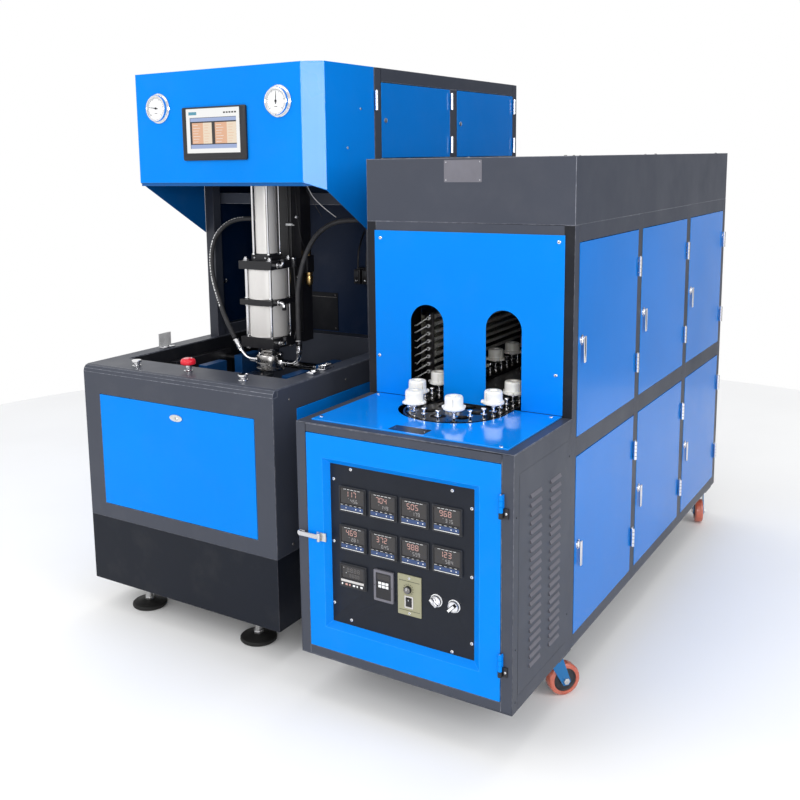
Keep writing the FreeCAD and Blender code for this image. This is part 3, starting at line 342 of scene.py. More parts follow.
def circle(cx, cy, r, n=24, a0=0.0, a1=None):
    if a1 is None:
        return [(cx + r * math.cos(2 * math.pi * k / n), cy + r * math.sin(2 * math.pi * k / n)) for k in range(n)]
    return [(cx + r * math.cos(a0 + (a1 - a0) * k / (n - 1)), cy + r * math.sin(a0 + (a1 - a0) * k / (n - 1))) for k in range(n)]


def rounded(u0, u1, v0, v1, r, n=5):
    pts = []
    for cx, cy, a in ((u1 - r, v1 - r, 0), (u0 + r, v1 - r, 90), (u0 + r, v0 + r, 180), (u1 - r, v0 + r, 270)):
        pts += circle(cx, cy, r, n, math.radians(a), math.radians(a + 90))
    return pts


def screw(m, at, axis, r=4.0, mat=0, dark=1, turn=0.4, h=None):
    """Pan-head screw with a cross recess, standing on a face that looks along the axis."""
    a, u, v = frame_of(axis)
    h = h or 0.5 * r
    m.lathe(at, axis, [(0, 0), (r, 0), (r, 0.35 * h), (0.86 * r, 0.75 * h), (0.55 * r, 0.96 * h), (0, h)], 20, mat)
    # the cross recess: two dark bars set into the head top, painted shade in place of a cut recess
    for k in (0, 1):
        t = turn + k * math.pi / 2
        d = u * math.cos(t) + v * math.sin(t)
        w = a.cross(d)
        o = Vector(at) + a * (0.93 * h)
        q = [(-0.55 * r, -0.1 * r), (0.55 * r, -0.1 * r), (0.55 * r, 0.1 * r), (-0.55 * r, 0.1 * r)]
        tmp = bmesh.new()
        lo = [tmp.verts.new(o + d * p + w * s - a * 0.1) for p, s in q]
        hi = [tmp.verts.new(o + d * p + w * s + a * (0.11 * h)) for p, s in q]
        tmp.faces.new(lo)
        tmp.faces.new(hi)
        for i in range(4):
            tmp.faces.new((lo[i], lo[(i + 1) % 4], hi[(i + 1) % 4], hi[i]))
        bmesh.ops.recalc_face_normals(tmp, faces=tmp.faces)
        m._absorb(tmp, dark)


def cap_screw(m, at, axis, r=5.0, h=6.0, mat=0, dark=1):
    """Socket-head screw."""
    m.lathe(at, axis, [(0, 0), (r - 0.4, 0), (r, 0.4), (r, h - 0.7), (r - 0.7, h), (0.58 * r, h), (0.58 * r, h * 0.45), (0, h * 0.45)], 24, mat)


def bolt(m, at, axis, r=7.0, mat=0, turn=0.2, washer=True):
    a = frame_of(axis)[0]
    if washer:
        m.lathe(at, axis, [(0, 0), (1.45 * r, 0), (1.45 * r, 0.18 * r), (0, 0.18 * r)], 24, mat)
        at = Vector(at) + a * 0.18 * r
    m.hexa(at, axis, r, 0.75 * r, mat, turn)
    m.lathe(Vector(at) + a * 0.74 * r, axis, [(0, 0), (0.78 * r, 0), (0.6 * r, 0.12 * r), (0, 0.14 * r)], 20, mat)


# ----------------------------------------------------------------- materials
def lin(r, g, b):
    return tuple((c / 255 / 12.92) if c / 255 <= 0.04045 else ((c / 255 + 0.055) / 1.055) ** 2.4 for c in (r, g, b)) + (1,)


class Nodes:
    def __init__(self, name):
        self.m = bpy.data.materials.new(name)
        self.m.use_nodes = True
        self.t = self.m.node_tree
        self.t.nodes.clear()
        self.out = self.n("ShaderNodeOutputMaterial")
        self.coord = self.n("ShaderNodeTexCoord").outputs["Object"]

    def n(self, kind, **k):
        x = self.t.nodes.new(kind)
        for a, b in k.items():
            setattr(x, a, b)
        return x

    def link(self, a, b):
        self.t.links.new(a, b)

    def noise(self, scale, detail=3.0, rough=0.55, stretch=None, seed=0.0):
        mp = self.n("ShaderNodeMapping")
        self.link(self.coord, mp.inputs["Vector"])
        mp.inputs["Location"].default_value = (seed, seed * 0.7, seed * 1.3)
        if stretch:
            mp.inputs["Scale"].default_value = stretch
        t = self.n("ShaderNodeTexNoise")
        t.inputs["Scale"].default_value = scale
        t.inputs["Detail"].default_value = detail
        t.inputs["Roughness"].default_value = rough
        self.link(mp.outputs[0], t.inputs["Vector"])
        return t.outputs["Fac"]

    def ramp(self, fac, stops):
        r = self.n("ShaderNodeValToRGB")
        el = r.color_ramp.elements
        while len(el) < len(stops):
            el.new(0.5)
        for e, (p, c) in zip(el, stops):
            e.position = p
            e.color = c if len(c) == 4 else tuple(c) + (1,)
        self.link(fac, r.inputs[0])
        return r.outputs[0]

    def mapr(self, fac, a, b, c, d):
        r = self.n("ShaderNodeMapRange")
        self.link(fac, r.inputs["Value"])
        for key, v in zip(("From Min", "From Max", "To Min", "To Max"), (a, b, c, d)):
            r.inputs[key].default_value = v
        return r.outputs[0]

    def math(self, op, a, b):
        r = self.n("ShaderNodeMath", operation=op)
        for i, x in enumerate((a, b)):
            if isinstance(x, (int, float)):
                r.inputs[i].default_value = x
            else:
                self.link(x, r.inputs[i])
        return r.outputs[0]

    def mix(self, fac, a, b):
        r = self.n("ShaderNodeMix", data_type="RGBA")
        for i, x in ((0, fac), (6, a), (7, b)):
            if isinstance(x, (int, float)):
                r.inputs[i].default_value = x
            elif isinstance(x, tuple):
                r.inputs[i].default_value = x
            else:
                self.link(x, r.inputs[i])
        return r.outputs[2]

    def bump(self, height, strength, dist, normal=None):
        b = self.n("ShaderNodeBump")
        b.inputs["Strength"].default_value = strength
        b.inputs["Distance"].default_value = dist
        self.link(height, b.inputs["Height"])
        if normal is not None:
            self.link(normal, b.inputs["Normal"])
        return b.outputs[0]

    def attr(self, name):
        return self.n("ShaderNodeAttribute", attribute_name=name).outputs["Fac"]

    def bsdf(self, color, rough=0.4, metal=0.0, normal=None, **k):
        p = self.n("ShaderNodeBsdfPrincipled")
        for key, x in (("Base Color", color), ("Roughness", rough), ("Metallic", metal)):
            if isinstance(x, (int, float, tuple)):
                p.inputs[key].default_value = x
            else:
                self.link(x, p.inputs[key])
        if normal is not None:
            self.link(normal, p.inputs["Normal"])
        for key, x in k.items():
            p.inputs[key.replace("_", " ")].default_value = x
        self.link(p.outputs[0], self.out.inputs[0])
        self.shader = p
        return self.m


def scaled(c, k):
    return tuple(min(1.0, x * k) for x in c[:3]) + (1,)


def paint(name, c, rough=0.34, peel=0.1, spec=0.4, coat=0.0, wear_and_fold_highlight=0.55, peel_scale=420, light=None, dusty=0.03):
    """Powder coat: slow colour drift, fine orange peel, and a lighter colour along the rounded folds as painted
    highlight.
    """
    k = Nodes(name)
    slow = k.noise(2.3, 2, 0.5)
    fine = k.noise(38, 4, 0.6, seed=3.0)
    col = k.ramp(slow, [(0.25, scaled(c, 0.93)), (0.75, scaled(c, 1.05))])
    col = k.mix(k.mapr(fine, 0.35, 0.7, 0.0, 0.10), col, scaled(c, 0.82))
    # painted highlight: the bevel-face mask, broken by noise, mixes the colour toward the lighter fold colour
    e = k.math("MULTIPLY", k.attr("wear_and_fold_highlight"), k.mapr(k.noise(70, 4, 0.65, seed=8.0), 0.40, 0.72, 0.15, wear_and_fold_highlight))
    top = light or tuple(0.55 * x + 0.16 for x in c[:3]) + (1,)
    col = k.mix(e, col, top)
    dust = k.noise(9, 5, 0.62, seed=5.0)
    col = k.mix(k.mapr(dust, 0.5, 0.85, 0.0, dusty), col, (0.45, 0.43, 0.40, 1))
    r = k.mapr(k.noise(6, 3, 0.6, seed=1.0), 0.3, 0.7, rough - 0.04, rough + 0.05)
    nb = k.bump(k.noise(peel_scale, 2, 0.5, seed=2.0), peel, 0.0006)
    return k.bsdf(col, r, 0.0, nb, Specular_IOR_Level=spec, Coat_Weight=coat, Coat_Roughness=0.08)


def metal(name, c, rough=0.25, brush=None, var=0.06, strength=0.05, aniso=0.0, metallic=1.0, spot=0.35):
    """Metal with brushing along one axis where brush gives the stretch."""
    k = Nodes(name)
    slow = k.noise(14, 4, 0.6)
    col = k.ramp(slow, [(0.25, scaled(c, 1 - var)), (0.75, scaled(c, 1 + var))])
    spots = k.noise(90, 5, 0.7, seed=4.0)
    col = k.mix(k.mapr(spots, 0.62, 0.85, 0.0, spot), col, scaled(c, 0.55))
    r = k.mapr(k.noise(30, 4, 0.65, seed=2.0), 0.3, 0.7, max(0.03, rough - 0.06), rough + 0.08)
    h = k.noise(500 if brush else 260, 2, 0.5, stretch=brush, seed=1.0)
    nb = k.bump(h, strength, 0.0004)
    return k.bsdf(col, r, metallic, nb)


def plastic(name, c, rough=0.45, grain=0.12, scale=1500, spec=0.4, wear_and_fold_highlight=0.2, **more):
    k = Nodes(name)
    col = k.ramp(k.noise(16, 4, 0.6), [(0.3, scaled(c, 0.9)), (0.7, scaled(c, 1.08))])
    col = k.mix(k.mapr(k.noise(60, 5, 0.7, seed=6.0), 0.6, 0.85, 0.0, wear_and_fold_highlight), col, tuple(0.6 * x + 0.14 for x in c[:3]) + (1,))
    r = k.mapr(k.noise(40, 3, 0.6, seed=2.0), 0.3, 0.7, rough - 0.05, rough + 0.06)
    nb = k.bump(k.noise(scale, 2, 0.5, seed=1.0), grain, 0.0003)
    return k.bsdf(col, r, 0.0, nb, Specular_IOR_Level=spec, **more)


BLUE = (0.0, 0.215, 0.76, 1)
GREY = lin(60, 64, 75)
M = {}
# light= is each paint's fold colour: the painted highlight along rounded edges
M["blue"] = paint("paint_blue", BLUE, 0.38, 0.08, 0.05, coat=0.06, light=(0.05, 0.36, 0.90, 1), dusty=0.012)
# painted highlight: a lighter, glossier copy of the blue for the hood's chamfer faces
M["blue_hood"] = paint("paint_blue_hood", (0.0, 0.24, 0.80, 1), 0.30, 0.06, 0.15, coat=0.45, light=(0.05, 0.36, 0.90, 1), dusty=0.012)
M["blue_gloss"] = paint("paint_blue_gloss", (0.0, 0.25, 0.86, 1), 0.10, 0.03, 0.35, coat=0.3, light=(0.10, 0.45, 0.95, 1), peel_scale=180)
# painted shade: a darker copy of the blue for the right-facing side faces and doors
M["blue_side"] = paint("paint_blue_side", (0.0, 0.185, 0.66, 1), 0.22, 0.05, 0.15, coat=0.12, light=(0.05, 0.36, 0.85, 1), peel_scale=220, dusty=0.01)
# painted shade: a darker copy of the blue for inward and downward faces
M["blue_in"] = paint("paint_blue_inside", (0.0, 0.085, 0.30, 1), 0.45, 0.08, 0.2)
M["grey"] = paint("paint_grey", GREY, 0.42, 0.16, 0.30, light=(0.34, 0.35, 0.40, 1), wear_and_fold_highlight=0.7)
# darker grey: seam lines and small parts, and painted shade on the tower frame below the hood
M["grey_dark"] = paint("paint_grey_dark", lin(44, 47, 56), 0.40, 0.16, 0.3, light=(0.16, 0.16, 0.19, 1))
M["skirt"] = paint("paint_skirt", lin(23, 27, 36), 0.38, 0.14, 0.15, light=(0.12, 0.12, 0.14, 1))
M["panel"] = plastic("panel_face", lin(24, 28, 37), 0.42, 0.18, 900, 0.22, wear_and_fold_highlight=0.05)
M["black"] = paint("black_oxide", (0.012, 0.012, 0.015, 1), 0.34, 0.12, 0.4, light=(0.10, 0.10, 0.11, 1))
# painted shade: near-black for inner faces, screw recesses and key slots; also the printed marks of the speed plate
M["black_in"] = paint("black_inside", (0.01, 0.011, 0.015, 1), 0.6, 0.1, 0.2)
M["plastic"] = plastic("plastic_black", (0.014, 0.014, 0.017, 1), 0.35, 0.14)
M["plastic_soft"] = plastic("plastic_soft", (0.03, 0.032, 0.038, 1), 0.5, 0.2)
M["steel"] = metal("steel_satin", (0.62, 0.62, 0.64, 1), 0.28, None, strength=0.08)
M["steel_dark"] = metal("steel_dark", (0.20, 0.19, 0.185, 1), 0.33, None, 0.18, 0.1)
M["chrome"] = metal("chrome", (0.80, 0.80, 0.82, 1), 0.10, None, 0.03, 0.02)
M["turned"] = metal("steel_turned", (0.55, 0.54, 0.53, 1), 0.22, (0.02, 0.02, 6.0), 0.1, 0.12)
M["alloy"] = metal("barrel_alloy", (0.76, 0.74, 0.72, 1), 0.34, (3.0, 3.0, 0.02), 0.02, 0.03, metallic=0.25, spot=0.03)
M["head"] = metal("head_steel", (0.40, 0.39, 0.38, 1), 0.24, (0.02, 0.02, 6.0), 0.1, 0.08, spot=0.15)
M["platen"] = paint("platen_blue", (0.003, 0.045, 0.15, 1), 0.4, 0.1, 0.25, light=(0.02, 0.12, 0.34, 1))
M["zinc"] = metal("zinc_plate", (0.70, 0.70, 0.70, 1), 0.30, None, 0.12, 0.1)
M["brass"] = metal("brass", (0.62, 0.42, 0.18, 1), 0.26, None, 0.1, 0.06)
M["mould"] = metal("mould_alloy", (0.62, 0.62, 0.63, 1), 0.30, (0.3, 6.0, 0.3), 0.05, 0.07)
M["chain"] = metal("chain_steel", (0.17, 0.16, 0.15, 1), 0.30, None, 0.25, 0.12)
M["foot"] = plastic("foot_rubber", (0.012, 0.012, 0.012, 1), 0.6, 0.3, 700, 0.3, wear_and_fold_highlight=0.15)
M["red"] = plastic("red_cap", (0.70, 0.012, 0.03, 1), 0.28, 0.04, 800, 0.5, wear_and_fold_highlight=0.05)
M["cup"] = plastic("cup_white", (0.86, 0.84, 0.78, 1), 0.34, 0.06, 500, 0.5, wear_and_fold_highlight=0.0, Subsurface_Weight=0.08, Subsurface_Radius=(0.004, 0.003, 0.002))
M["white"] = plastic("print_white", (0.82, 0.83, 0.84, 1), 0.5, 0.05, 800, 0.3, wear_and_fold_highlight=0.0)
M["ceramic"] = plastic("ceramic", (0.80, 0.78, 0.72, 1), 0.45, 0.1, 500, 0.4, wear_and_fold_highlight=0.1)
M["fork"] = paint("fork_blue", lin(20, 105, 165), 0.24, 0.08, 0.5, light=(0.35, 0.45, 0.55, 1))
M["olive"] = paint("speed_plate", lin(150, 148, 122), 0.45, 0.1, 0.3, light=(0.5, 0.5, 0.42, 1))
M["meter_grey"] = plastic("meter_grey", lin(105, 104, 112), 0.45, 0.15, 1200, 0.35, wear_and_fold_highlight=0.1)
M["meter_blue"] = plastic("meter_blue", lin(52, 72, 112), 0.4, 0.08, 900, 0.35, wear_and_fold_highlight=0.05)
M["silver_strip"] = plastic("silver_strip", lin(195, 192, 190), 0.4, 0.05, 900, 0.4, wear_and_fold_highlight=0.1)


def glow(name, c, strength, back=(0.02, 0.02, 0.02, 1), scale=300):
    k = Nodes(name)
    f = k.mapr(k.noise(scale, 2, 0.5), 0.3, 0.7, 0.88, 1.0)
    col = k.mix(f, scaled(c, 0.8), c)
    m = k.bsdf(back, 0.25)
    k.link(col, k.shader.inputs["Emission Color"])
    k.shader.inputs["Emission Strength"].default_value = strength
    return m


M["digit_red"] = glow("digit_red", (0.95, 0.52, 0.46, 1), 0.75)
M["digit_white"] = glow("digit_white", (0.72, 0.70, 0.72, 1), 0.6)
M["screen_white"] = glow("screen_white", (0.97, 0.97, 0.96, 1), 0.9)
M["screen_cream"] = glow("screen_cream", (0.96, 0.80, 0.62, 1), 0.85)
M["screen_orange"] = glow("screen_orange", (0.93, 0.52, 0.32, 1), 0.8)
M["screen_blue"] = glow("screen_blue", (0.40, 0.50, 0.80, 1), 0.8)
M["screen_dark"] = glow("screen_dark", (0.10, 0.07, 0.08, 1), 0.1)
M["screen_teal"] = glow("screen_teal", (0.10, 0.42, 0.58, 1), 0.7)


def hose_rubber():
    """Spiral-wrapped cover: along and round are the hose's own length and turn."""
    k = Nodes("hose_cover")
    u, w = k.attr("along"), k.attr("round")
    a = k.math("ADD", k.math("MULTIPLY", u, 900.0), k.math("MULTIPLY", w, 6 * 6.28318))
    b = k.math("SUBTRACT", k.math("MULTIPLY", u, 900.0), k.math("MULTIPLY", w, 6 * 6.28318))
    weave = k.math("ADD", k.math("SINE", a, 0), k.math("SINE", b, 0))
    col = k.ramp(k.mapr(weave, -2, 2, 0, 1), [(0.2, (0.016, 0.016, 0.018, 1)), (0.9, (0.05, 0.05, 0.056, 1))])
    dust = k.mapr(k.noise(30, 4, 0.6), 0.45, 0.8, 0.0, 0.22)
    col = k.mix(dust, col, (0.16, 0.15, 0.15, 1))
    nb = k.bump(weave, 0.35, 0.0005)
    return k.bsdf(col, 0.55, 0.0, nb, Specular_IOR_Level=0.35)


def urethane():
    k = Nodes("urethane")
    col = k.ramp(k.noise(20, 4, 0.6), [(0.3, (0.44, 0.075, 0.04, 1)), (0.7, (0.60, 0.16, 0.10, 1))])
    col = k.mix(k.mapr(k.noise(55, 5, 0.7, seed=3.0), 0.5, 0.8, 0.0, 0.5), col, (0.22, 0.11, 0.09, 1))
    nb = k.bump(k.noise(300, 3, 0.5), 0.1, 0.0004)
    return k.bsdf(col, 0.22, 0.0, nb, Subsurface_Weight=0.25, Subsurface_Radius=(0.008, 0.003, 0.002), Subsurface_Scale=1.0, Coat_Weight=0.8, Coat_Roughness=0.06)


def clear(name, tint=(1, 1, 1, 1), rough=0.02):
    k = Nodes(name)
    r = k.mapr(k.noise(60, 3, 0.6), 0.3, 0.7, rough, rough + 0.04)
    return k.bsdf(tint, r, 0.0, None, Transmission_Weight=1.0, IOR=1.45)


def quartz():
    k = Nodes("quartz_tube")
    col = k.ramp(k.noise(120, 4, 0.6), [(0.3, (0.62, 0.60, 0.57, 1)), (0.7, (0.86, 0.84, 0.80, 1))])
    return k.bsdf(col, 0.12, 0.0, None, Transmission_Weight=0.35, IOR=1.45, Specular_IOR_Level=0.7)


M["hose"] = hose_rubber()
M["urethane"] = urethane()
M["glass"] = clear("dial_glass")
M["print"] = plastic("hose_print", (0.80, 0.80, 0.80, 1), 0.5, 0.1, 600, 0.3, wear_and_fold_highlight=0.3)
M["quartz"] = quartz()


# --------------------------------------------------------------------- hoses
HOSES = {
    "hose_left": [(-1350, 595, 868), (-1389, 595, 930), (-1426, 602, 1006), (-1462, 612, 1088), (-1481, 632, 1170),
                  (-1478, 662, 1238), (-1436, 704, 1286), (-1360, 732, 1290), (-1283, 732, 1290)],
    "hose_right": [(-1066, 595, 886), (-1066, 595, 962), (-1070, 600, 1042), (-1064, 610, 1116), (-1052, 632, 1186),
                   (-1034, 666, 1244), (-999, 708, 1281), (-942, 735, 1292), (-877, 735, 1292)]}
HOSE_SIDE = -4
HOSE_LEN = {"hose_left": 0.637, "hose_right": 0.566}


def spline_points(name, route):
    cu = bpy.data.curves.new(name, "CURVE")
    cu.dimensions = "3D"
    cu.resolution_u = 24
    s = cu.splines.new("NURBS")
    s.points.add(len(route) - 1)
    for i, p in enumerate(route):
        s.points[i].co = (*P(*p), 1)
    s.order_u = 3
    s.use_endpoint_u = True
    ob = bpy.data.objects.new(name, cu)
    me = bpy.data.meshes.new_from_object(ob)
    pts = [v.co.copy() for v in me.vertices]
    bpy.data.objects.remove(ob)
    bpy.data.curves.remove(cu)
    bpy.data.meshes.remove(me)
    return pts


def hose_piece(node, marks):
    """The hose as a tube along its own spline, with its printed dashes as a second layer."""
    pts = spline_points(node + "_line", HOSES[node])
    fine = [pts[0]]
    for p, q in zip(pts, pts[1:]):
        fine.append(q)
    bm = bmesh.new()
    along = bm.verts.layers.float.new("along")
    rnd = bm.verts.layers.float.new("round")
    r, segs = 0.0085, 28
    rings, up, s = [], None, 0.0
    n = len(fine)
    for i, p in enumerate(fine):
        t = (fine[min(i + 1, n - 1)] - fine[max(i - 1, 0)]).normalized()
        if up is None:
            up = Vector((0, -1, 0))
        up = (up - t * up.dot(t)).normalized()
        w = t.cross(up)
        if i:
            s += (p - fine[i - 1]).length
        ring = []
        for k in range(segs):
            a = 2 * math.pi * k / segs
            v = bm.verts.new(p + (up * math.cos(a) + w * math.sin(a)) * r)
            v[along] = s
            v[rnd] = min(k, segs - k) / segs
            ring.append(v)
        rings.append((ring, s, p, up.copy(), w, t))
    for A, B in zip(rings, rings[1:]):
        for k in range(segs):
            bm.faces.new((A[0][k], A[0][(k + 1) % segs], B[0][(k + 1) % segs], B[0][k]))
    bm.faces.new(rings[0][0])
    bm.faces.new(rings[-1][0])
    # broken white lay line: short dashes proud of the cover, sized like print
    if marks:
        lo, hi, side = marks
        rng = np.random.default_rng(7)
        pos = lo
        S = [x[1] for x in rings]

        def place(d, a, lift):
            i = min(max(int(np.searchsorted(S, d)), 1), n - 1)
            f = (d - S[i - 1]) / max(S[i] - S[i - 1], 1e-9)
            p0, p1 = rings[i - 1], rings[i]
            c = p0[2].lerp(p1[2], f)
            u_ = p0[3].lerp(p1[3], f).normalized()
            w_ = p0[4].lerp(p1[4], f).normalized()
            return c + (u_ * math.cos(a) + w_ * math.sin(a)) * (r + lift)
        while pos < hi:
            ln = float(rng.uniform(0.003, 0.009))
            wd = float(rng.uniform(0.24, 0.34))
            steps = 3
            rows = []
            for j in range(steps + 1):
                d = pos + ln * j / steps
                rows.append([bm.verts.new(place(d, side + x, 0.00025)) for x in (-wd, -wd / 3, wd / 3, wd)])
            for A, B in zip(rows, rows[1:]):
                for k in range(3):
                    f = bm.faces.new((A[k], B[k], B[k + 1], A[k + 1]))
                    f.material_index = 1
            pos += ln + float(rng.uniform(0.002, 0.006))
    bmesh.ops.recalc_face_normals(bm, faces=[f for f in bm.faces if f.material_index == 0])
    for f in bm.faces:
        f.smooth = True
    me = bpy.data.meshes.new(node + "_look")
    bm.to_mesh(me)
    bm.free()
    me.materials.append(M["hose"])
    me.materials.append(M["print"])
    o = bpy.data.objects.new(node + "_look", me)
    COLL.objects.link(o)
    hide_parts(node)
    return o, pts


hose_l, line_l = hose_piece("hose_left", (0.13, 0.52, math.radians(HOSE_SIDE)))
hose_r, line_r = hose_piece("hose_right", None)
for o_, line in ((hose_l, line_l), (hose_r, line_r)):
    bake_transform(o_)


# -------------------------------------------------------------- blow station
AX, AY = -1193.0, 595.0
BL, BR, BF, BB = -1588.0, -798.0, 100.0, 1850.0
TL, TR, TF, TB, TT = -1569.0, -817.0, 708.0, 1836.0, 1790.0
DECK = 842.0

M["navy"] = paint("paint_navy_shadow", (0.001, 0.012, 0.045, 1), 0.40, 0.08, 0.25, light=(0.02, 0.10, 0.30, 1))

m = Mesh()
for y in (260, 700, 1250, 1690):
    screw(m, (BR, y, 300), "x", 5, 1, 2)
    screw(m, (BR, y, 130), "x", 5, 1, 2)
refine("blower_plinth", [M["skirt"], M["steel_dark"], M["black_in"]], 1.2, add=m)

m = Mesh()
for px, py, r0 in ((BL + 181, 166, 11.0), (BL + 629, 166, 11.0), (BL + 385, 190, 11.2)):
    m.lathe((px, py, DECK), "z", [(r0, 0.1), (14.2, 0.1), (14.4, 2.0), (12.8, 3.3), (r0, 3.4), (r0, 0.1)], 40, 2)
# closing gussets at both ends of the rounded nose
for x in (BL + 0.5, BR - 3.5):
    m.prism((x, BF, DECK), "x", [(2.6, -44), (2.6, -22), (5.2, -12.2), (12.2, -5.2), (22, -2.6), (44, -2.6), (44, -44)], 3.0, 0, 0, up=(0, 0, 1))
# inward faces of the front frame sheet take the near-black: painted shade
refine("blower_front_frame", [M["grey"], M["black_in"], M["chrome"]], 0.7, 2, 12,
       pick=lambda c, n: 1 if (n.y > 0.7 and c.y < 112 and c.z < 820) else 0, add=m)

m = Mesh()
# edge screws on the side and rear sheets
for y in (180, 480, 800, 1120, 1440, 1760):
    screw(m, (BR, y, 800), "x", 4.5, 2, 3)
    screw(m, (BR, y, 352), "x", 4.5, 2, 3)
for x in range(-1520, -830, 130):
    screw(m, (x, BB, 790), "y", 4.5, 2, 3)
# rear cable entries
m.cyl((-1200, BB - 1, 420), "y", 22, 9, 1.5, 32, 4)
m.cyl((-1200, BB + 7, 420), "y", 17, 9, 1.5, 6, 4)
m.cyl((-1130, BB - 1, 420), "y", 22, 9, 1.5, 32, 4)
m.cyl((-1130, BB + 7, 420), "y", 17, 9, 1.5, 6, 4)
# faces inside the deck well take the near-black: painted shade
refine("blower_frame", [M["grey"], M["black_in"], M["steel_dark"], M["black_in"], M["plastic"]], 0.8,
       pick=lambda c, n: 1 if c.z < 838 and -1532 < c.x < -854 and 244 < c.y < 946 and not (c.y > 935 and n.y < -0.5) else 0, add=m)

m = Mesh()
# cover plate and cable clips on the partition; fastenings of the skins
m.box((-1345, 997, 846), (-1176, 1000, 993), 0.8, 2)
m.box((-1340, 996.4, 975), (-1181, 997.2, 976.4), 0, 3)
for x, z in ((-1335, 984), (-1187, 984), (-1335, 856), (-1187, 856)):
    screw(m, (x, 997, z), "-y", 3.5, 3, 2)
for y in (820, 1060, 1300, 1540, 1750):
    screw(m, (TR - 3, y, 905), "x", 4.2, 3, 2)
    screw(m, (TR - 3, y, 1430), "x", 4.2, 3, 2)
    screw(m, (TL + 3, y, 905), "-x", 4.2, 3, 2)
    screw(m, (TL + 3, y, 1720), "-x", 4.2, 3, 2)
for x in (-1500, -1193, -890):
    for z in (910, 1310, 1720):
        screw(m, (x, TB - 3, z), "y", 4.2, 3, 2)
    for y in (780, 1300, 1760):
        screw(m, (x, y, TT - 2), "z", 4.2, 3, 2, h=1.7)
# rear louvres of the tower, pressed outwards
for cx in (-1420, -1193, -966):
    for k in range(12):
        z = 1000 + 22 * k
        m.prism((cx - 60, TB - 3.2, z), "x", [(0, 15), (3, 13.4), (9, 3.2), (8.2, 2.4), (2, 8.4), (0, 9)], 120, 0, 0, up=(0, 0, 1))
        m.box((cx - 58, TB - 3.2, z + 1), (cx + 58, TB - 2.6, z + 9), 0, 2)
# painted shade: the partition's front face, the inner faces of the tower skins and the roof's underside take the
# near-black navy; the right-facing side faces take the darker side blue
refine("blower_panels", [M["blue"], M["navy"], M["black_in"], M["steel_dark"], M["blue_side"]], 0.8,
       pick=lambda c, n: 1 if (998 < c.y < 1005 and c.z > DECK and n.y < -0.5) or (n.x > 0.5 and c.x < TL + 12) or (n.x < -0.5 and TR - 12 < c.x < TR + 1) or (n.z < -0.5 and c.z > 1700) else (4 if abs(c.x - BR) < 4 and n.x > 0.5 else 0), add=m)

m = Mesh()
for x in (BL + 157, BR - 157):
    for y in (191, 975, 1760):
        m.lathe((x, y, 0), "z", [(0, 0), (55, 0), (58, 3), (58, 10), (55, 13), (30, 18), (17, 22), (0, 22)], 48, 0)
        for k in range(24):
            a = 2 * math.pi * k / 24
            m.box((x + 57 * math.cos(a) - 1.2, y + 57 * math.sin(a) - 1.2, 3), (x + 57 * math.cos(a) + 0.9, y + 57 * math.sin(a) + 0.9, 10), 0.4, 0, 1)
        m.hexa((x, y, 22), "z", 16, 10, 1, 0.3)
        prof = [(0, 32)]
        for k in range(34):
            z = 32 + 2 * k
            prof += [(10.3, z), (11.9, z + 1)]
        prof += [(10.3, 100), (0, 100)]
        m.lathe((x, y, 0), "z", prof, 24, 1)
        m.hexa((x, y, 88), "z", 18, 11, 1, 0.8)
m.make("levelling_feet_look", [M["foot"], M["zinc"]], "root", "levelling_feet")

# front faces of the tower frame below the hood take the darker grey: painted shade
refine("tower_frame", [M["grey"], M["grey_dark"]], 2.0, 3, pick=lambda c, n: 1 if (n.y < -0.5 and c.y < 712 and c.z < 1500) else 0)

# ------------------------------------------------- cylinders and stretch unit
m = Mesh()
for z, y0, h in ((859, 525, 36), (1007, 525, 19), (1131, 525, 28)):
    for sx in (-52, 52):
        for sy in (-52, 52):
            if z == 859:
                bolt(m, (AX + sx, AY + sy, 859), "-z", 8.2, 1, 0.3)
            if z == 1131:
                bolt(m, (AX + sx, AY + sy, 1159), "z", 8.2, 1, 0.5)
for zz in (880, 1090, 1300, 1500, 1650):
    for sx in (-55, 55):
        cap_screw(m, (AX + sx, 700, zz), "-y", 5.5, 6, 1)
for z in (1159, 1545):
    for sx in (-24, 24):
        cap_screw(m, (AX + sx, AY - 38, z + 9), "-y", 3.2, 3, 1)
refine("cylinder_mount", [M["black"], M["steel"], M["black_in"]], 1.2, add=m,
       pick=lambda c, n: 0)

m = Mesh()
for z0, z1 in ((895, 1007), (1026, 1131)):
    m.lathe((AX, AY, 0), "z", [(62, z0 + .2), (66, z0 + .2), (67, z0 + 1.4), (66.2, z0 + 3), (67, z0 + 4.2), (67, z1 - 4.2), (66.2, z1 - 3),
                                (67, z1 - 1.4), (66, z1 - .2), (62, z1 - .2), (62, z0 + .2)], 96, 0)
    m.lathe((AX, AY, 0), "z", [(61.5, z0), (68.2, z0), (68.2, z0 + 1.2), (61.5, z0 + 1.2), (61.5, z0)], 64, 1)
    m.lathe((AX, AY, 0), "z", [(61.5, z1 - 1.2), (68.2, z1 - 1.2), (68.2, z1), (61.5, z1), (61.5, z1 - 1.2)], 64, 1)
# upper barrel: drawn profile with four flats and sensor grooves
prof = []
for k in range(96):
    a = 2 * math.pi * k / 96
    r = 36.8
    for g in (0.25, 0.75, 1.25, 1.75):
        d = abs((a / math.pi - g + 1) % 2 - 1) * math.pi * 36.8
        if d < 3.4:
            r = 33.6 if d < 2.2 else 35.4
    prof.append((r * math.cos(a), r * math.sin(a)))
m.prism((AX, AY, 1177.1), "z", prof, 367.8, 0, 2)
m.lathe((AX, AY, 0), "z", [(32.5, 1177.05), (37.4, 1177.05), (37.4, 1181), (36.9, 1182), (32.5, 1182), (32.5, 1177.05)], 64, 1)
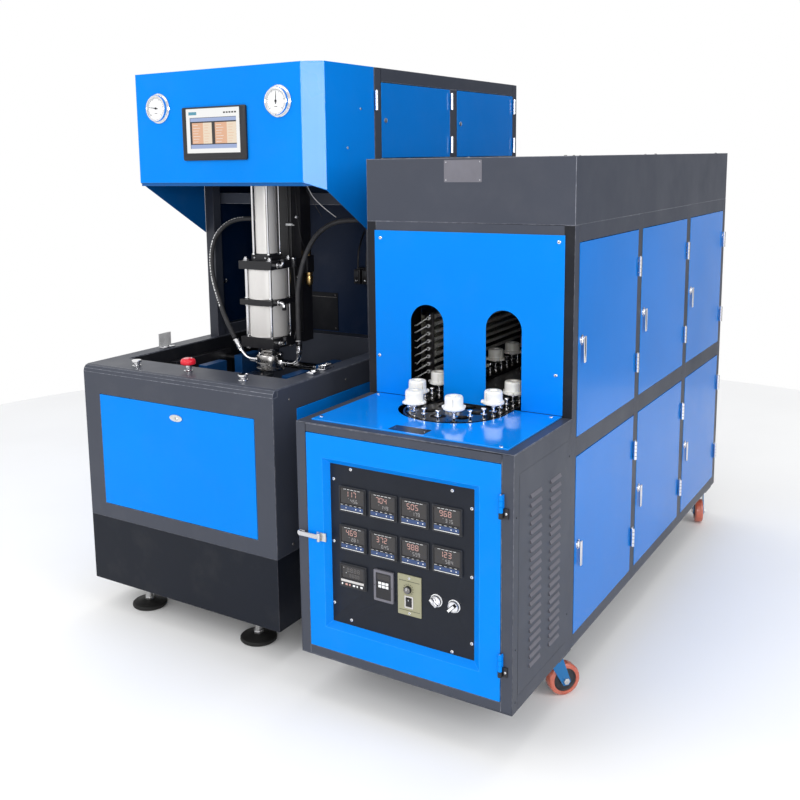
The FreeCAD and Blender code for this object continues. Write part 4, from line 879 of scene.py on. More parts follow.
# sensor in its groove
m.box((-5, -3.2, -27), (5, 3.2, 27), 1.5, 3, xf=Matrix.Translation((AX + 36.4 * math.cos(-0.78), AY + 36.4 * math.sin(-0.78), 1322)) @ Matrix.Rotation(-0.78, 4, "Z") @ Matrix.Rotation(0, 4, "X"))
m.make("barrels_look", [M["alloy"], M["black"], M["alloy"], M["plastic_soft"]], "root", "cylinder_barrels", 25)

m = Mesh()
for sx in (-52, 52):
    for sy in (-52, 52):
        m.lathe((AX + sx, AY + sy, 0), "z", [(0, 850), (4.2, 850), (5, 851), (5, 1171), (4.2, 1172), (0, 1172)], 20, 0)
        for z in (1003, 1027):
            m.hexa((AX + sx, AY + sy, z - (0 if z > 1010 else 2)), "z", 8, 5, 0, 0.2)
        ux, uy = sx * 32 / 52, sy * 32 / 52
        m.lathe((AX + ux, AY + uy, 0), "z", [(0, 1178), (3.2, 1178), (3.5, 1179), (3.5, 1544), (0, 1544)], 16, 0)
        m.hexa((AX + ux, AY + uy, 1177.2), "z", 6.2, 5, 0, 0.5)
        bolt(m, (AX + sx * 28 / 52, AY + sy * 28 / 52, 1565), "z", 6, 0, 0.1)
m.make("tie_rods_look", [M["chrome"]], "root", "cylinder_tie_rods")

# seal head: turned body with flange and groove, big nut, bolts, elbows, ferrules
SL = 772.0
m = Mesh()
m.lathe((AX, AY, SL), "z", [(6.6, 0.3), (46.6, 0.3), (48, 1.2), (49.6, 3), (49.6, 9), (48.2, 10.4), (46.2, 11), (46.2, 14), (47, 15), (47, 27), (46, 28.2), (46, 30),
                            (47, 31.2), (47, 51), (44.5, 55.6), (30.5, 55.9), (6.6, 55.9), (6.6, 0.3)], 96, 0)
m.hexa((AX, AY, SL + 56), "z", 34, 16, 1, 0.35)
m.lathe((AX, AY, SL + 72), "z", [(7, 0), (28, 0), (29, 1), (29, 9), (28, 10.5), (7, 10.5), (7, 0)], 48, 1)
m.lathe((AX, AY, 0), "z", [(6.6, SL + 82), (17.4, SL + 82), (18, SL + 83), (18, 1127.4), (6.6, 1127.4), (6.6, SL + 82)], 48, 2)
for z in (985, 1108):
    m.lathe((AX, AY, z), "z", [(18, 0.2), (60, 0.2), (61.4, 1.4), (61.4, 13.4), (60, 14.8), (18, 14.8), (18, 0.2)], 64, 3)
for k in range(6):
    a = math.pi / 3 * k + 0.3
    cap_screw(m, (AX + 39 * math.cos(a), AY + 39 * math.sin(a), SL + 55.5), "z", 4.4, 5, 2)
for k in range(3):
    a = 2 * math.pi / 3 * k - 1.0
    m.lathe((AX + 23 * math.cos(a), AY + 23 * math.sin(a), SL + 82), "z", [(0, 0), (5.4, 0), (5.4, 9), (4.6, 10), (0, 10)], 20, 2)
# elbows
sz = SL + 28
m.hexa((AX - 46, AY, sz), "-x", 14, 12, 2, 0.2)
m.tube([(AX - 58, AY, sz), (AX - 76, AY, sz), (AX - 90, AY, sz + 1.5), (AX - 103, AY, sz + 5.5), (AX - 113, AY, sz + 12), (AX - 124, AY, sz + 22.5), (AX - 133.6, AY, sz + 31.2)], 7.4, 20, 2)
d = Vector((-21.6, 0, 34.3)).normalized()
o = Vector((AX - 133.8, AY, SL + 59.6))
m.hexa(o - d * 6, tuple(d), 11, 9, 2, 0.0)
m.lathe(o, tuple(d), [(0, 3), (10.4, 3), (11.8, 5), (11.8, 8), (10.8, 9), (11.8, 10), (11.8, 13), (10.8, 14), (11.8, 15), (11.8, 18), (10.8, 19),
                      (11.8, 20), (11.8, 38.5), (10.6, 40), (8.8, 40.2), (8.8, 36), (0, 36)], 40, 2)
m.hexa((AX + 46, AY, sz), "x", 14, 12, 2, 0.2)
m.tube([(AX + 58, AY, sz), (AX + 92, AY, sz), (AX + 105, AY, sz + 2.5), (AX + 116, AY, sz + 9), (AX + 123.5, AY, sz + 20), (AX + 126.6, AY, sz + 34), (AX + 127, AY, sz + 48)], 7.4, 20, 2)
m.hexa((AX + 72, AY, sz), "x", 11, 9, 2, 0.6)
m.lathe((AX + 127, AY, SL + 73), "z", [(0, 3), (10.4, 3), (11.8, 5), (11.8, 8), (10.8, 9), (11.8, 10), (11.8, 13), (10.8, 14), (11.8, 15), (11.8, 18), (10.8, 19),
                                        (11.8, 20), (11.8, 39), (10.6, 40.6), (8.8, 40.8), (8.8, 36), (0, 36)], 40, 2)
m.hexa((AX + 127, AY, SL + 66), "z", 11, 9, 2, 0.0)
m.make("seal_head_look", [M["head"], M["head"], M["chrome"], M["steel"]], "seal_head", "seal_head")

m = Mesh()
m.lathe((AX, AY, 0), "z", [(0, SL + 13), (4.6, SL + 13), (5.9, SL + 17), (5.9, 1511.8), (30.4, 1511.8), (31.4, 1513), (31.4, 1518), (30.2, 1518.6), (30.2, 1521.4),
                            (31.4, 1522), (31.4, 1527), (30.4, 1528), (0, 1528)], 48, 0)
m.make("stretch_rod_look", [M["chrome"]], "stretch_rod", "stretch_rod")

# --------------------------------------------------------- mould and clamping
for side, sg in (("left", -1), ("right", 1)):
    m = Mesh()
    for oy in (-86, 86):
        for oz in (470, 584, 698):
            x = AX + sg * 75
            m.lathe((x - sg * 0.0, AY + oy, oz), "x" if sg < 0 else "-x", [(0, -6), (5.6, -6), (5.6, 0.01), (6.4, 0.01), (6.4, -0.4), (0, -0.4)], 20, 2)
    for oy in (-110, 110):
        for oz in (500, 660):
            ax = "-y" if oy < 0 else "y"
            m.hexa((AX + sg * 120, AY + oy, oz), ax, 10, 8, 3, 0.4)
            m.lathe((AX + sg * 120, AY + oy + (-8 if oy < 0 else 8), oz), ax, [(0, 0), (7, 0), (7, 3), (5.4, 4), (7, 6), (5.4, 7.5), (7, 9.5), (5, 12), (0, 12)], 20, 3)
    for oy in (-75, 75):
        cap_screw(m, (AX + sg * 100, AY + oy, 728), "z", 5.5, 5, 2)
    for oy in (-135, 135):
        for oz in (490, 600, 710):
            cap_screw(m, (AX + sg * 165, AY + oy, oz), "-x" if sg > 0 else "x", 6, 6, 2)
    refine("mould_half_" + side, [M["mould"], M["platen"], M["steel_dark"], M["brass"], M["steel"]], 1.0, 2, 25, add=m,
           pick=lambda c, n, s=sg: 1 if 164.6 < abs(c.x - AX) < 200.5 and not (abs(c.y - AY) < 20 and abs(c.z - 602) < 20) else (4 if abs(c.x - AX) > 200.5 else 0))

m = Mesh()
for sg in (-1, 1):
    for oy in (-128, 128):
        for oz in (440, 765):
            bolt(m, (AX + sg * 332, AY + oy, oz), "x" if sg > 0 else "-x", 17, 1, 0.3)
refine("clamp_unit", [M["black"], M["chrome"], M["alloy"]], 1.2, 2, 25, add=m,
       pick=lambda c, n: 1 if (abs(abs(c.y - AY) - 128) < 15 and (abs(c.z - 440) < 15 or abs(c.z - 765) < 15) and abs(c.x - AX) < 306.5)
       else (2 if abs(c.x - AX) < 306 else 0))

# --------------------------------------------------------------- air circuit
m = Mesh()
m.box((-1060, 955, 1040), (-920, 999.5, 1100), 2, 0)
for x in (-1056, -1020, -984):
    m.box((x, 930, 1044), (x + 26, 955.5, 1096), 1.5, 1)
    m.box((x + 4, 926, 1070), (x + 22, 930.5, 1092), 1, 3)
    m.cyl((x + 13, 930.5, 1056), "-y", 4, 5, 0.6, 20, 2)
    m.tube([(x + 13, 940, 1096), (x + 13, 940, 1120), (x + 13, 944, 1160), (x + 15, 960, 1200), (x + 10, 990, 1230)], 3, 12, 4)
m.box((-1123, 705, 1105), (-1101, 745, 1165), 2, 0)
# filter bowl with brass body
m.lathe((-1109, 725, 0), "z", [(0, 1055), (4, 1055), (5, 1058), (11, 1062), (12.8, 1068), (12.8, 1092), (11, 1096), (13, 1098), (13, 1105), (0, 1105)], 32, 5)
m.lathe((-1111, 725, 1165), "z", [(0, 0), (9, 0), (9, 3), (7.4, 4), (9, 6), (9, 12), (8, 14.6), (0, 14.6)], 32, 5)
m.hexa((-1109, 725, 1098), "z", 13, 7, 5, 0.2)
for x, y, z, s in ((-1283, 732, 1290, 1), (-877, 735, 1292, 1)):
    m.lathe((x, y, z), "x", [(0, 0.2), (9.4, 0.2), (11.8, 2), (11.8, 5), (10.8, 6), (11.8, 7), (11.8, 12), (10, 13), (10, 20), (0, 20)], 32, 2)
    m.hexa((x + 13, y, z), "x", 13.5, 7, 2, 0.2)
# two rising air lines with a white tie, and thin wires that wander beside them
for x, y in ((-1172, 690), (-1158, 690)):
    m.tube([(x, y, 1162), (x, y, 1250), (x + 0.6, y, 1380), (x, y, 1539)], 3.9, 14, 4)
m.box((-1178, 684.5, 1270), (-1152, 695.5, 1278), 2, 6, 3)
m.box((-1150, 686, 1271), (-1142, 689, 1274), 0.6, 6)
for k, pts in enumerate(([(-1130, 698, 1540), (-1112, 690, 1470), (-1085, 684, 1400), (-1052, 690, 1340), (-1040, 715, 1300)],
                         [(-1126, 698, 1540), (-1100, 688, 1455), (-1066, 682, 1380), (-1020, 700, 1330), (-1000, 740, 1300)],
                         [(-1150, 698, 1540), (-1140, 694, 1400), (-1128, 690, 1290), (-1118, 700, 1200), (-1112, 722, 1182)])):
    cu_ = bpy.data.curves.new("wire_tmp", "CURVE")
    cu_.dimensions = "3D"
    s_ = cu_.splines.new("NURBS")
    s_.points.add(len(pts) - 1)
    for i_, p_ in enumerate(pts):
        s_.points[i_].co = (*p_, 1)
    s_.order_u = 3
    s_.use_endpoint_u = True
    ob_ = bpy.data.objects.new("wire_tmp", cu_)
    me_ = bpy.data.meshes.new_from_object(ob_)
    m.tube([v.co.copy() for v in me_.vertices], 1.3, 8, 6 if k == 1 else 4)
    bpy.data.objects.remove(ob_)
    bpy.data.curves.remove(cu_)
    bpy.data.meshes.remove(me_)
# elbow fittings at the right end of each black plate
for z, dz in ((877, 1), (1016, -1), (1145, 1)):
    y = 556
    m.hexa((-1123, y, z), "x", 9.5, 9, 2, 0.3)
    m.tube([(-1115, y, z), (-1104, y, z), (-1098, y, z + dz * 2), (-1095, y, z + dz * 8), (-1095, y, z + dz * 16)], 6.2, 20, 2)
    m.lathe((-1095, y, z + dz * 12), "z" if dz > 0 else "-z", [(0, 0), (7.6, 0), (7.6, 9), (6.4, 11), (0, 11)], 24, 1)
# a push-in fitting on the left tower skin, and a regulator knob by the top plate
m.cyl((-1563, 764, 1042), "x", 9, 12, 1, 24, 2)
m.hexa((-1551, 764, 1042), "x", 9, 8, 2, 0.2)
m.tube([(-1544, 764, 1042), (-1534, 764, 1042), (-1528, 764, 1046), (-1526, 764, 1056)], 4.5, 16, 2)
m.cyl((-1112, 640, 1131), "z", 10, 26, 1.5, 24, 1)
m.hexa((-1112, 640, 1157), "z", 9, 7, 2, 0.1)
m.tube([(-1112, 640, 1131), (-1111, 642, 1085), (-1108, 648, 1000), (-1110, 650, 930), (-1118, 640, 880)], 3.4, 12, 4)
# electrics behind the partition
m.box((-1500, 1003.5, 1000), (-900, 1030, 1400), 2, 7)
for x0, x1, y1, z0, z1 in ((-1460, -1300, 1120, 1100, 1250), (-1260, -1100, 1110, 1080, 1300), (-1060, -940, 1130, 1060, 1200)):
    m.box((x0, 1030, z0), (x1, y1, z1), 3, 3)
    for k in range(5):
        m.box((x0 + 8 + k * (x1 - x0 - 16) / 5 + 2, y1 - 0.5, z0 + 8), (x0 + 8 + (k + 1) * (x1 - x0 - 16) / 5 - 2, y1 + 1.2, z0 + 18), 0.4, 2, 1)
m.make("air_circuit_look", [M["black"], M["plastic"], M["chrome"], M["plastic_soft"], M["plastic"], M["brass"], M["white"], M["zinc"]],
       "root", "pneumatics")

# ------------------------------------------------------------ deck furniture
for name, px in (("start_button_left", BL + 181), ("start_button_right", BL + 629)):
    m = Mesh()
    m.lathe((px, 166, DECK), "z", [(0, -14), (10.4, -14), (10.4, 11.4), (15, 13), (16, 14.4),
                                   (16, 18.4), (14.8, 20), (12, 20.4), (0, 20.5)], 48, 0)
    m.make(name + "_look", [M["chrome"]], name, name)
m = Mesh()
m.lathe((BL + 385, 190, DECK), "z", [(0, -14), (10.6, -14), (10.6, 18.6), (0, 18.6)], 40, 1)
m.lathe((BL + 385, 190, DECK), "z", [(0, 18.4), (11, 18.6), (19, 20.4), (23.2, 23.4), (24, 26), (24, 32), (23, 35.4), (20.4, 38.6), (15, 41), (8, 42.3), (0, 42.5)], 64, 0)
for k in range(3):
    a = 2 * math.pi * k / 3
    pts = [(13 * math.cos(a + t), 13 * math.sin(a + t)) for t in (0, 0.35, 0.7, 1.05, 1.4)] + [(10.6 * math.cos(a + t), 10.6 * math.sin(a + t)) for t in (1.4, 1.05, 0.7, 0.35, 0)]
    m.prism((BL + 385, 190, DECK + 40.9), "z", pts, 0.9, 0, 2)
m.make("estop_look", [M["red"], M["chrome"], M["white"]], "estop_button", "estop_button")

# front service panel: folded pan, oval lock plate
m = Mesh()
lx, lz = BL + 410, 712.0
oval = [(26 * math.cos(2 * math.pi * k / 40), 11 * math.sin(2 * math.pi * k / 40)) for k in range(40)]
m.prism((lx, 99, lz), "-y", oval, 3.4, 1.0, 1, up=(0, 0, 1))
m.lathe((lx, 95.8, lz), "-y", [(0, 0), (8.6, 0), (8.6, 1.6), (7.8, 2.4), (6.4, 2.4), (6.2, 1.6), (0, 1.6)], 36, 1)
# the key slot: a near-black bar on the lock face, painted shade
m.box((lx - 0.8, 93.9, lz - 4), (lx + 0.8, 94.3, lz + 4), 0, 2)
refine("blower_front_panel", [M["blue"], M["zinc"], M["black_in"]], 0.9, 2, add=m, keep=lambda c, isl: not (abs(c.x - lx) < 12 and c.y < 100))

# hood
# inward and downward faces of the hood take the darker inside blue (painted shade); the chamfer takes the lighter copy
# (painted highlight)
def hood_inside(c, n):
    if n.y > 0.5 or n.z < -0.5:
        return 1
    if abs(n.x) > 0.5 and ((c.x < AX and n.x > 0) or (c.x > AX and n.x < 0)):
        return 1
    return 4 if n.x > 0.4 and n.y < -0.6 else 0


m = Mesh()
# the return flange behind the lower front edge, in the darker inside blue: painted shade
m.box((TL + 3, 388, 1417), (TR - 62, 390.5, 1436), 0.6, 1)
m.prism((TR - 62, 388, 1417), "z", [(0, 0), (59, 41.3), (59, 44), (0, 2.6)], 19, 0, 1, up=(0, 1, 0))
for y, z in ((624, 1654), (545, 1531)):
    screw(m, (TR, y, z), "x", 4.2, 2, 3)
# stiffening ribs and the cable duct inside the roof, in the darker inside blue (painted shade)
m.box((TL + 4, 470, 1765), (TR - 4, 500, 1786), 1.5, 1)
m.box((TL + 4, 640, 1765), (TR - 4, 670, 1786), 1.5, 1)
refine("hood_shell", [M["blue"], M["blue_in"], M["steel"], M["black_in"], M["blue_hood"]], 0.9, 2, 20, pick=hood_inside, add=m)

# gauges and touch panel
m = Mesh()
for gx, gz, needle in ((TL + 103, 1674, math.radians(172)), (TL + 607, 1676, math.radians(88))):
    o = Vector((gx, 385, gz))
    m.lathe(o, "-y", [(0, 0), (47.6, 0), (49, 1), (49, 2.6), (47.8, 3.6), (43.6, 3.8), (43.2, 8), (43.6, 14), (42.6, 17.6), (40.6, 19.2), (38.4, 19.4), (37.2, 18.4),
                      (37, 13.4), (0, 13.4)], 72, 0)
    m.lathe(o, "-y", [(0, 13.5), (36.9, 13.5), (36.9, 14.1), (0, 14.1)], 64, 1)
    m.lathe(o + Vector((0, 14, 0)), "y", [(0, 0), (42.5, 0), (42.5, 27), (40, 28), (0, 28)], 40, 2)
    for k in range(3):
        a = math.radians(90 + 120 * k)
        screw(m, o + Vector((46 * math.cos(a), -3.3, 46 * math.sin(a))), "-y", 3.2, 1, 2)
    # scale: 270 degrees of ticks and a heavier arc
    for k in range(51):
        a = math.radians(225 - 270 * k / 50)
        big = k % 10 == 0
        r0, r1, w = (27.5 if big else 30.5), 33.6, (0.55 if big else 0.25)
        ca, sa = math.cos(a), math.sin(a)
        q = [(r0 * ca - w * sa, r0 * sa + w * ca), (r1 * ca - w * sa, r1 * sa + w * ca), (r1 * ca + w * sa, r1 * sa - w * ca), (r0 * ca + w * sa, r0 * sa - w * ca)]
        m.prism(o + Vector((0, -14.1, 0)), "-y", q, 0.2, 0, 2, up=(0, 0, 1))
    arc = [(34.6 * math.cos(math.radians(225 - 270 * k / 60)), 34.6 * math.sin(math.radians(225 - 270 * k / 60))) for k in range(61)]
    arc += [(33.9 * math.cos(math.radians(225 - 270 * k / 60)), 33.9 * math.sin(math.radians(225 - 270 * k / 60))) for k in range(60, -1, -1)]
    m.flat(o + Vector((0, -14.1, 0)), "-y", arc, h=0.2, mat=2)
    ca, sa = math.cos(needle), math.sin(needle)
    q = [(-9 * ca - 1.6 * sa, -9 * sa + 1.6 * ca), (30 * ca - 0.4 * sa, 30 * sa + 0.4 * ca), (30 * ca + 0.4 * sa, 30 * sa - 0.4 * ca), (-9 * ca + 1.6 * sa, -9 * sa - 1.6 * ca)]
    m.prism(o + Vector((0, -15.4, 0)), "-y", q, 0.5, 0, 2, up=(0, 0, 1))
    m.lathe(o + Vector((0, -14.2, 0)), "-y", [(0, 0), (3.6, 0), (3.6, 2.4), (2.8, 3), (0, 3)], 24, 2)
    m.flat(o + Vector((0, -14.1, -17)), "-y", [(-6, -1), (6, -1), (6, 1), (-6, 1)], h=0.2, mat=2)
# touch panel: deep black bezel, screen, simple blocks in place of its picture
hx0, hx1, hz0, hz1 = TL + 212, TL + 481, 1500.0, 1671.0
m.box((hx0 + 9, 385, hz0 + 11), (hx1 - 8, 427, hz1 - 11), 2, 2)
frame_out = rounded(hx0, hx1, hz0, hz1, 6)
sx0, sx1, sz0, sz1 = hx0 + 15, hx1 - 26, hz0 + 24, hz1 - 5
m.flat((0, 385, 0), "-y", frame_out, [[(sx0, sz0), (sx1, sz0), (sx1, sz1), (sx0, sz1)]], h=8, bevel=1.6, mat=2)
W, H = sx1 - sx0, sz1 - sz0


def scr(u0, u1, v0, v1, mat, lift):
    m.flat((0, 381 - lift, 0), "-y", [(sx0 + u0 * W, sz0 + v0 * H), (sx0 + u1 * W, sz0 + v0 * H), (sx0 + u1 * W, sz0 + v1 * H), (sx0 + u0 * W, sz0 + v1 * H)], h=0.15, mat=mat)


m.box((sx0 - 0.5, 381.2, sz0 - 0.5), (sx1 + 0.5, 384.6, sz1 + 0.5), 0, 2)
scr(0, 1, 0, 1, 3, 0)
scr(0.07, 0.93, 0.10, 0.80, 7, 0.2)
scr(0.08, 0.93, 0.10, 0.19, 6, 0.4)
scr(0.08, 0.93, 0.71, 0.79, 6, 0.4)
for b0, b1 in ((0.11, 0.48), (0.54, 0.93)):
    scr(b0, b0 + 0.56 * (b1 - b0), 0.21, 0.68, 5, 0.4)
    scr(b0 + 0.56 * (b1 - b0), b1, 0.21, 0.68, 4, 0.4)
    for k in range(7):
        v = 0.25 + 0.062 * k
        scr(b0 + 0.02, b0 + 0.30 * (b1 - b0) + 0.02 * (k % 3), v, v + 0.008, 3, 0.6)
        scr(b0 + 0.62 * (b1 - b0), b0 + (0.80 + 0.03 * (k % 4)) * (b1 - b0), v, v + 0.008, 5, 0.6)
scr(0.05, 0.20, 0.86, 0.93, 8, 0.4)
for k in range(5):
    scr(0.70 + 0.05 * k, 0.735 + 0.05 * k, 0.875, 0.91, 7, 0.4)
m.box((hx0 + 8, 376.4, hz0 + 8), (hx1 - 24, 377.2, hz0 + 9), 0, 9)
m.cyl((hx1 - 13, 377.4, hz0 + 13), "-y", 1.6, 0.5, 0.1, 16, 9)
m.make("hood_instruments_look", [M["chrome"], M["white"], M["plastic"], M["screen_white"], M["screen_cream"], M["screen_orange"], M["screen_blue"], M["screen_dark"],
                                 M["screen_teal"], M["plastic_soft"]], "hood", "hood_instruments")

# tower doors in the darker side blue: painted shade
for n_ in ("tower_door_front", "tower_door_rear"):
    m = Mesh()
    y0 = 748 if "front" in n_ else 1291
    m.cyl((TR + 1, y0 + 26, 1621), "x", 8, 3, 0.8, 32, 1)
    # key slot: a near-black bar on the lock, painted shade
    m.box((TR + 3.4, y0 + 25.2, 1616), (TR + 4.3, y0 + 26.8, 1626), 0, 2)
    refine(n_, [M["blue_side"], M["zinc"], M["black_in"]], 0.9, add=m)


# -------------------------------------------------------------------- heater
HL, BD, CR = -640.0, 375.0, 2040.0
SIDE_Y = [(408, 912), (954, 1468), (1515, 2001)]
SIDE_Z = [(168, 687), (740, 1271)]

m = Mesh()
# pressed louvres over the side slots: a sloping scoop, open below, in a lighter grey than the sheet (painted highlight
# where they catch the light)
for c0, c1 in ((102, 166), (230, 294)):
    for k in range(20):
        z = 214 + 23.6 * k
        m.prism((-0.2, c0 - 2, z + 8.4), "y", [(0, 2.6), (-1.4, 1.8), (-4.6, -6.6), (-3.4, -7.0), (-0.2, 0.4)], c1 - c0 + 4, 0, 1, up=(0, 0, 1))
        for y in (c0 - 2, c1 + 1):
            m.prism((-0.2, y, z + 8.4), "y", [(0, 2.0), (-4.4, -6.6), (0, -8.0)], 1, 0, 1, up=(0, 0, 1))
# seam of the side sheet and its fastenings
for y0, y1, z0, z1 in ((31, 31.9, 175, 742), (33, 352, 171, 171.9), (33, 352, 745, 745.9)):
    m.box((-0.1, y0, z0), (0.25, y1, z1), 0, 2)
for y, z in ((18, 300), (18, 640), (362, 250), (362, 700), (18, 160)):
    screw(m, (0, y, z), "x", 2.6, 2, 3)
for y in (30, 345):
    for z in (150, 785):
        screw(m, (HL, y + 12, z), "-x", 4.2, 3, 4)
for y in (430, 820, 1210, 1600, 1985):
    for z in (160, 700, 1295):
        screw(m, (HL, y, z), "-x", 4.2, 3, 4)
# side rear face (left side of the cabinet) pressed panels
for y0, y1 in SIDE_Y:
    for z0, z1 in SIDE_Z:
        m.box((HL - 0.8, y0 + 12, z0 + 12), (HL + 0.5, y1 - 12, z1 - 12), 0.6, 0)
for y, z in ((1290, 950), (1420, 380), (520, 380), (1800, 980)):
    m.box((-0.2, y, z), (-0.1, y + 2, z + 2), 0, 2)
# inner faces of the cabinet take the near-black: painted shade
refine("heater_frame", [M["grey"], M["meter_grey"], M["grey_dark"], M["steel_dark"], M["black_in"], M["plastic"]], 0.9, 2,
       pick=lambda c, n: 4 if (-637.5 < c.x < -2.9 and 3 < c.y < 2037 and 136 < c.z < 796 and n.z < 0.5) or (410 < c.y < 1999 and c.x < -1 and c.x > -639 and abs(n.x) > 0.5 and c.z < 1300) else 0, add=m)

m = Mesh()
for x, y in ((-594, 56), (-50, 36), (-594, 352), (-50, 352)):
    screw(m, (x, y, 804), "z", 5.2, 1, 2)
m.flat((0, 0, 804), "z", rounded(-371, -266, 37, 82, 2), h=0.5, mat=3, up=(0, 1, 0))
for x in (-362, -275):
    m.cyl((x, 59.5, 804.4), "z", 2, 0.7, 0.2, 16, 1)
refine("heater_table", [M["blue_gloss"], M["chrome"], M["black_in"], M["black"]], 0.8, 2, 20, add=m)

m = Mesh()
for x, z in ((-593, 1268), (-43, 1272), (-601, 918), (-47, 914)):
    screw(m, (x, 372, z), "-y", 5.0, 1, 2)
refine("arch_cover", [M["blue"], M["chrome"], M["black_in"]], 0.7, 2, 20, add=m)

m = Mesh()
m.flat((0, 375, 0), "-y", rounded(-384, -268, 1428, 1489, 3), h=0.8, mat=1)
for x in (-378, -274):
    for z in (1434, 1483):
        m.cyl((x, 374.3, z), "-y", 1.6, 0.7, 0.3, 16, 2)
for y in (500, 900, 1300, 1700, 1960):
    screw(m, (HL, y, 1340), "-x", 4.2, 3, 4)
for x in (-600, -320, -40):
    for y in (400, 1200, 2015):
        screw(m, (x, y, 1495), "z", 4.2, 3, 4)
# rolled edge of the cap over the frame
refine("heater_hood", [M["grey"], M["meter_grey"], M["steel"], M["steel_dark"], M["black_in"]], 1.5, 3, add=m)

# ---------------------------------------------------------------- oven chain
TRX, TY0, TY1, RR, NC, PH = -320.0, 307.0, 1824.0, 122.0, 29, 59.3
LL = TY1 - TY0
QQ = math.pi * RR
TOTAL = 2 * LL + 2 * QQ


def on_track(s, r=RR):
    s = s % TOTAL
    if s < QQ / 2:
        a = s / RR
        return TRX + r * math.sin(a), TY0 - r * math.cos(a), a
    s -= QQ / 2
    if s < LL:
        return TRX + r, TY0 + s, math.pi / 2
    s -= LL
    if s < QQ:
        a = s / RR
        return TRX + r * math.cos(a), TY1 + r * math.sin(a), math.pi / 2 + a
    s -= QQ
    if s < LL:
        return TRX - r, TY1 - s, 3 * math.pi / 2
    s -= LL
    a = s / RR
    return TRX - r * math.cos(a), TY0 - r * math.sin(a), 3 * math.pi / 2 + a


m = Mesh()
step = TOTAL / (3 * NC)
# roller chain: side plates above and below each pitch, rollers on every pin
for k in range(3 * NC):
    x, y, a = on_track(PH + k * step)
    x2, y2, a2 = on_track(PH + (k + 1) * step)
    d = Vector((x2 - x, y2 - y, 0))
    L = d.length
    d.normalize()
    n = Vector((-d.y, d.x, 0))
    lift = 2.2 * (k % 2)
    outline = []
    for cx, a0 in ((L, -90), (0, 90)):
        for j in range(7):
            t = math.radians(a0 + 30 * j)
            outline.append((cx + 10.5 * math.cos(t), 10.5 * math.sin(t)))
    waist = []
    for p in outline:
        waist.append(p)
    waist.insert(7, (L / 2, 7.2))
    waist.append((L / 2, -7.2))
    for z in (789.2 + lift, 797.6 - lift * 0.4):
        pts = [Vector((x, y, z)) + d * u + n * v for u, v in waist]
        tmp = bmesh.new()
        lo_ = [tmp.verts.new(p) for p in pts]
        hi_ = [tmp.verts.new(p + Vector((0, 0, 2.0))) for p in pts]
        tmp.faces.new(lo_)
        tmp.faces.new(hi_)
        for i in range(len(pts)):
            tmp.faces.new((lo_[i], lo_[(i + 1) % len(pts)], hi_[(i + 1) % len(pts)], hi_[i]))
        bmesh.ops.recalc_face_normals(tmp, faces=tmp.faces)
        m._absorb(tmp, 0)
    m.lathe((x, y, 789), "z", [(0, 0), (8.4, 0.2), (9, 1), (9, 8), (8.4, 9), (0, 9)], 20, 1)
    if k % 3:
        m.lathe((x, y, 799), "z", [(0, 0), (5.4, 0), (5.4, 3), (3.5, 4), (3.5, 12.6), (8.2, 13.2), (9, 13.8), (9, 15.2), (8.2, 16), (3.5, 16.4), (3.5, 25.4), (6, 26.6), (7.5, 28), (7.5, 29.6),
                                  (6.6, 30.9), (0, 31)], 24, 2)
    else:
        m.lathe((x, y, 799), "z", [(0, 0), (6.4, 0), (6.4, 3), (4, 4), (4, 11.6), (10, 12.2), (11, 12.8), (11, 14.2), (10, 15), (4, 15.6), (4, 23), (7, 25), (9.6, 28.4), (9.6, 28.9), (0, 28.9)], 24, 2)
# track rail, sprockets with windows and teeth, shafts, bearing blocks, drive
for r0, r1, z0, z1 in ((RR + 13.5, RR + 19.5, 784.2, 798), (RR - 19.5, RR - 13.5, 784.2, 788)):
    pts0, pts1 = [], []
    for j in range(180):
        s_ = TOTAL * j / 180
        px, py, _ = on_track(s_, r0)
        qx, qy, _ = on_track(s_, r1)
        pts0.append((px, py))
        pts1.append((qx, qy))
    m.flat((0, 0, z0), "z", pts1, [pts0], h=z1 - z0, mat=3, up=(0, 1, 0))
for cy, sgn in ((TY0, 1), (TY1, -1)):
    teeth = []
    nt = 32
    for j in range(nt):
        a = 2 * math.pi * j / nt
        for da, r in ((-0.075, RR - 17), (-0.03, RR - 11.5), (0.03, RR - 11.5), (0.075, RR - 17)):
            teeth.append((TRX + r * math.cos(a + da), cy + r * math.sin(a + da)))
    holes = [circle(TRX + 66 * math.cos(math.pi / 3 * j + 0.3), cy + 66 * math.sin(math.pi / 3 * j + 0.3), 22, 28) for j in range(6)]
    m.flat((0, 0, 789), "z", teeth, holes, h=6, mat=1, up=(0, 1, 0))
    m.lathe((TRX, cy, 640 if sgn < 0 else 665), "z", [(0, 0), (15, 0), (15, 150 if sgn < 0 else 125), (26, 150 if sgn < 0 else 125), (26, 160 if sgn < 0 else 135), (15, 162 if sgn < 0 else 137),
                                                      (15, 166 if sgn < 0 else 141), (13, 168 if sgn < 0 else 143), (0, 168 if sgn < 0 else 143)], 40, 2)
    for j in range(6):
        cap_screw(m, (TRX + 21 * math.cos(j * math.pi / 3), cy + 21 * math.sin(j * math.pi / 3), 797), "z", 3, 4, 2)
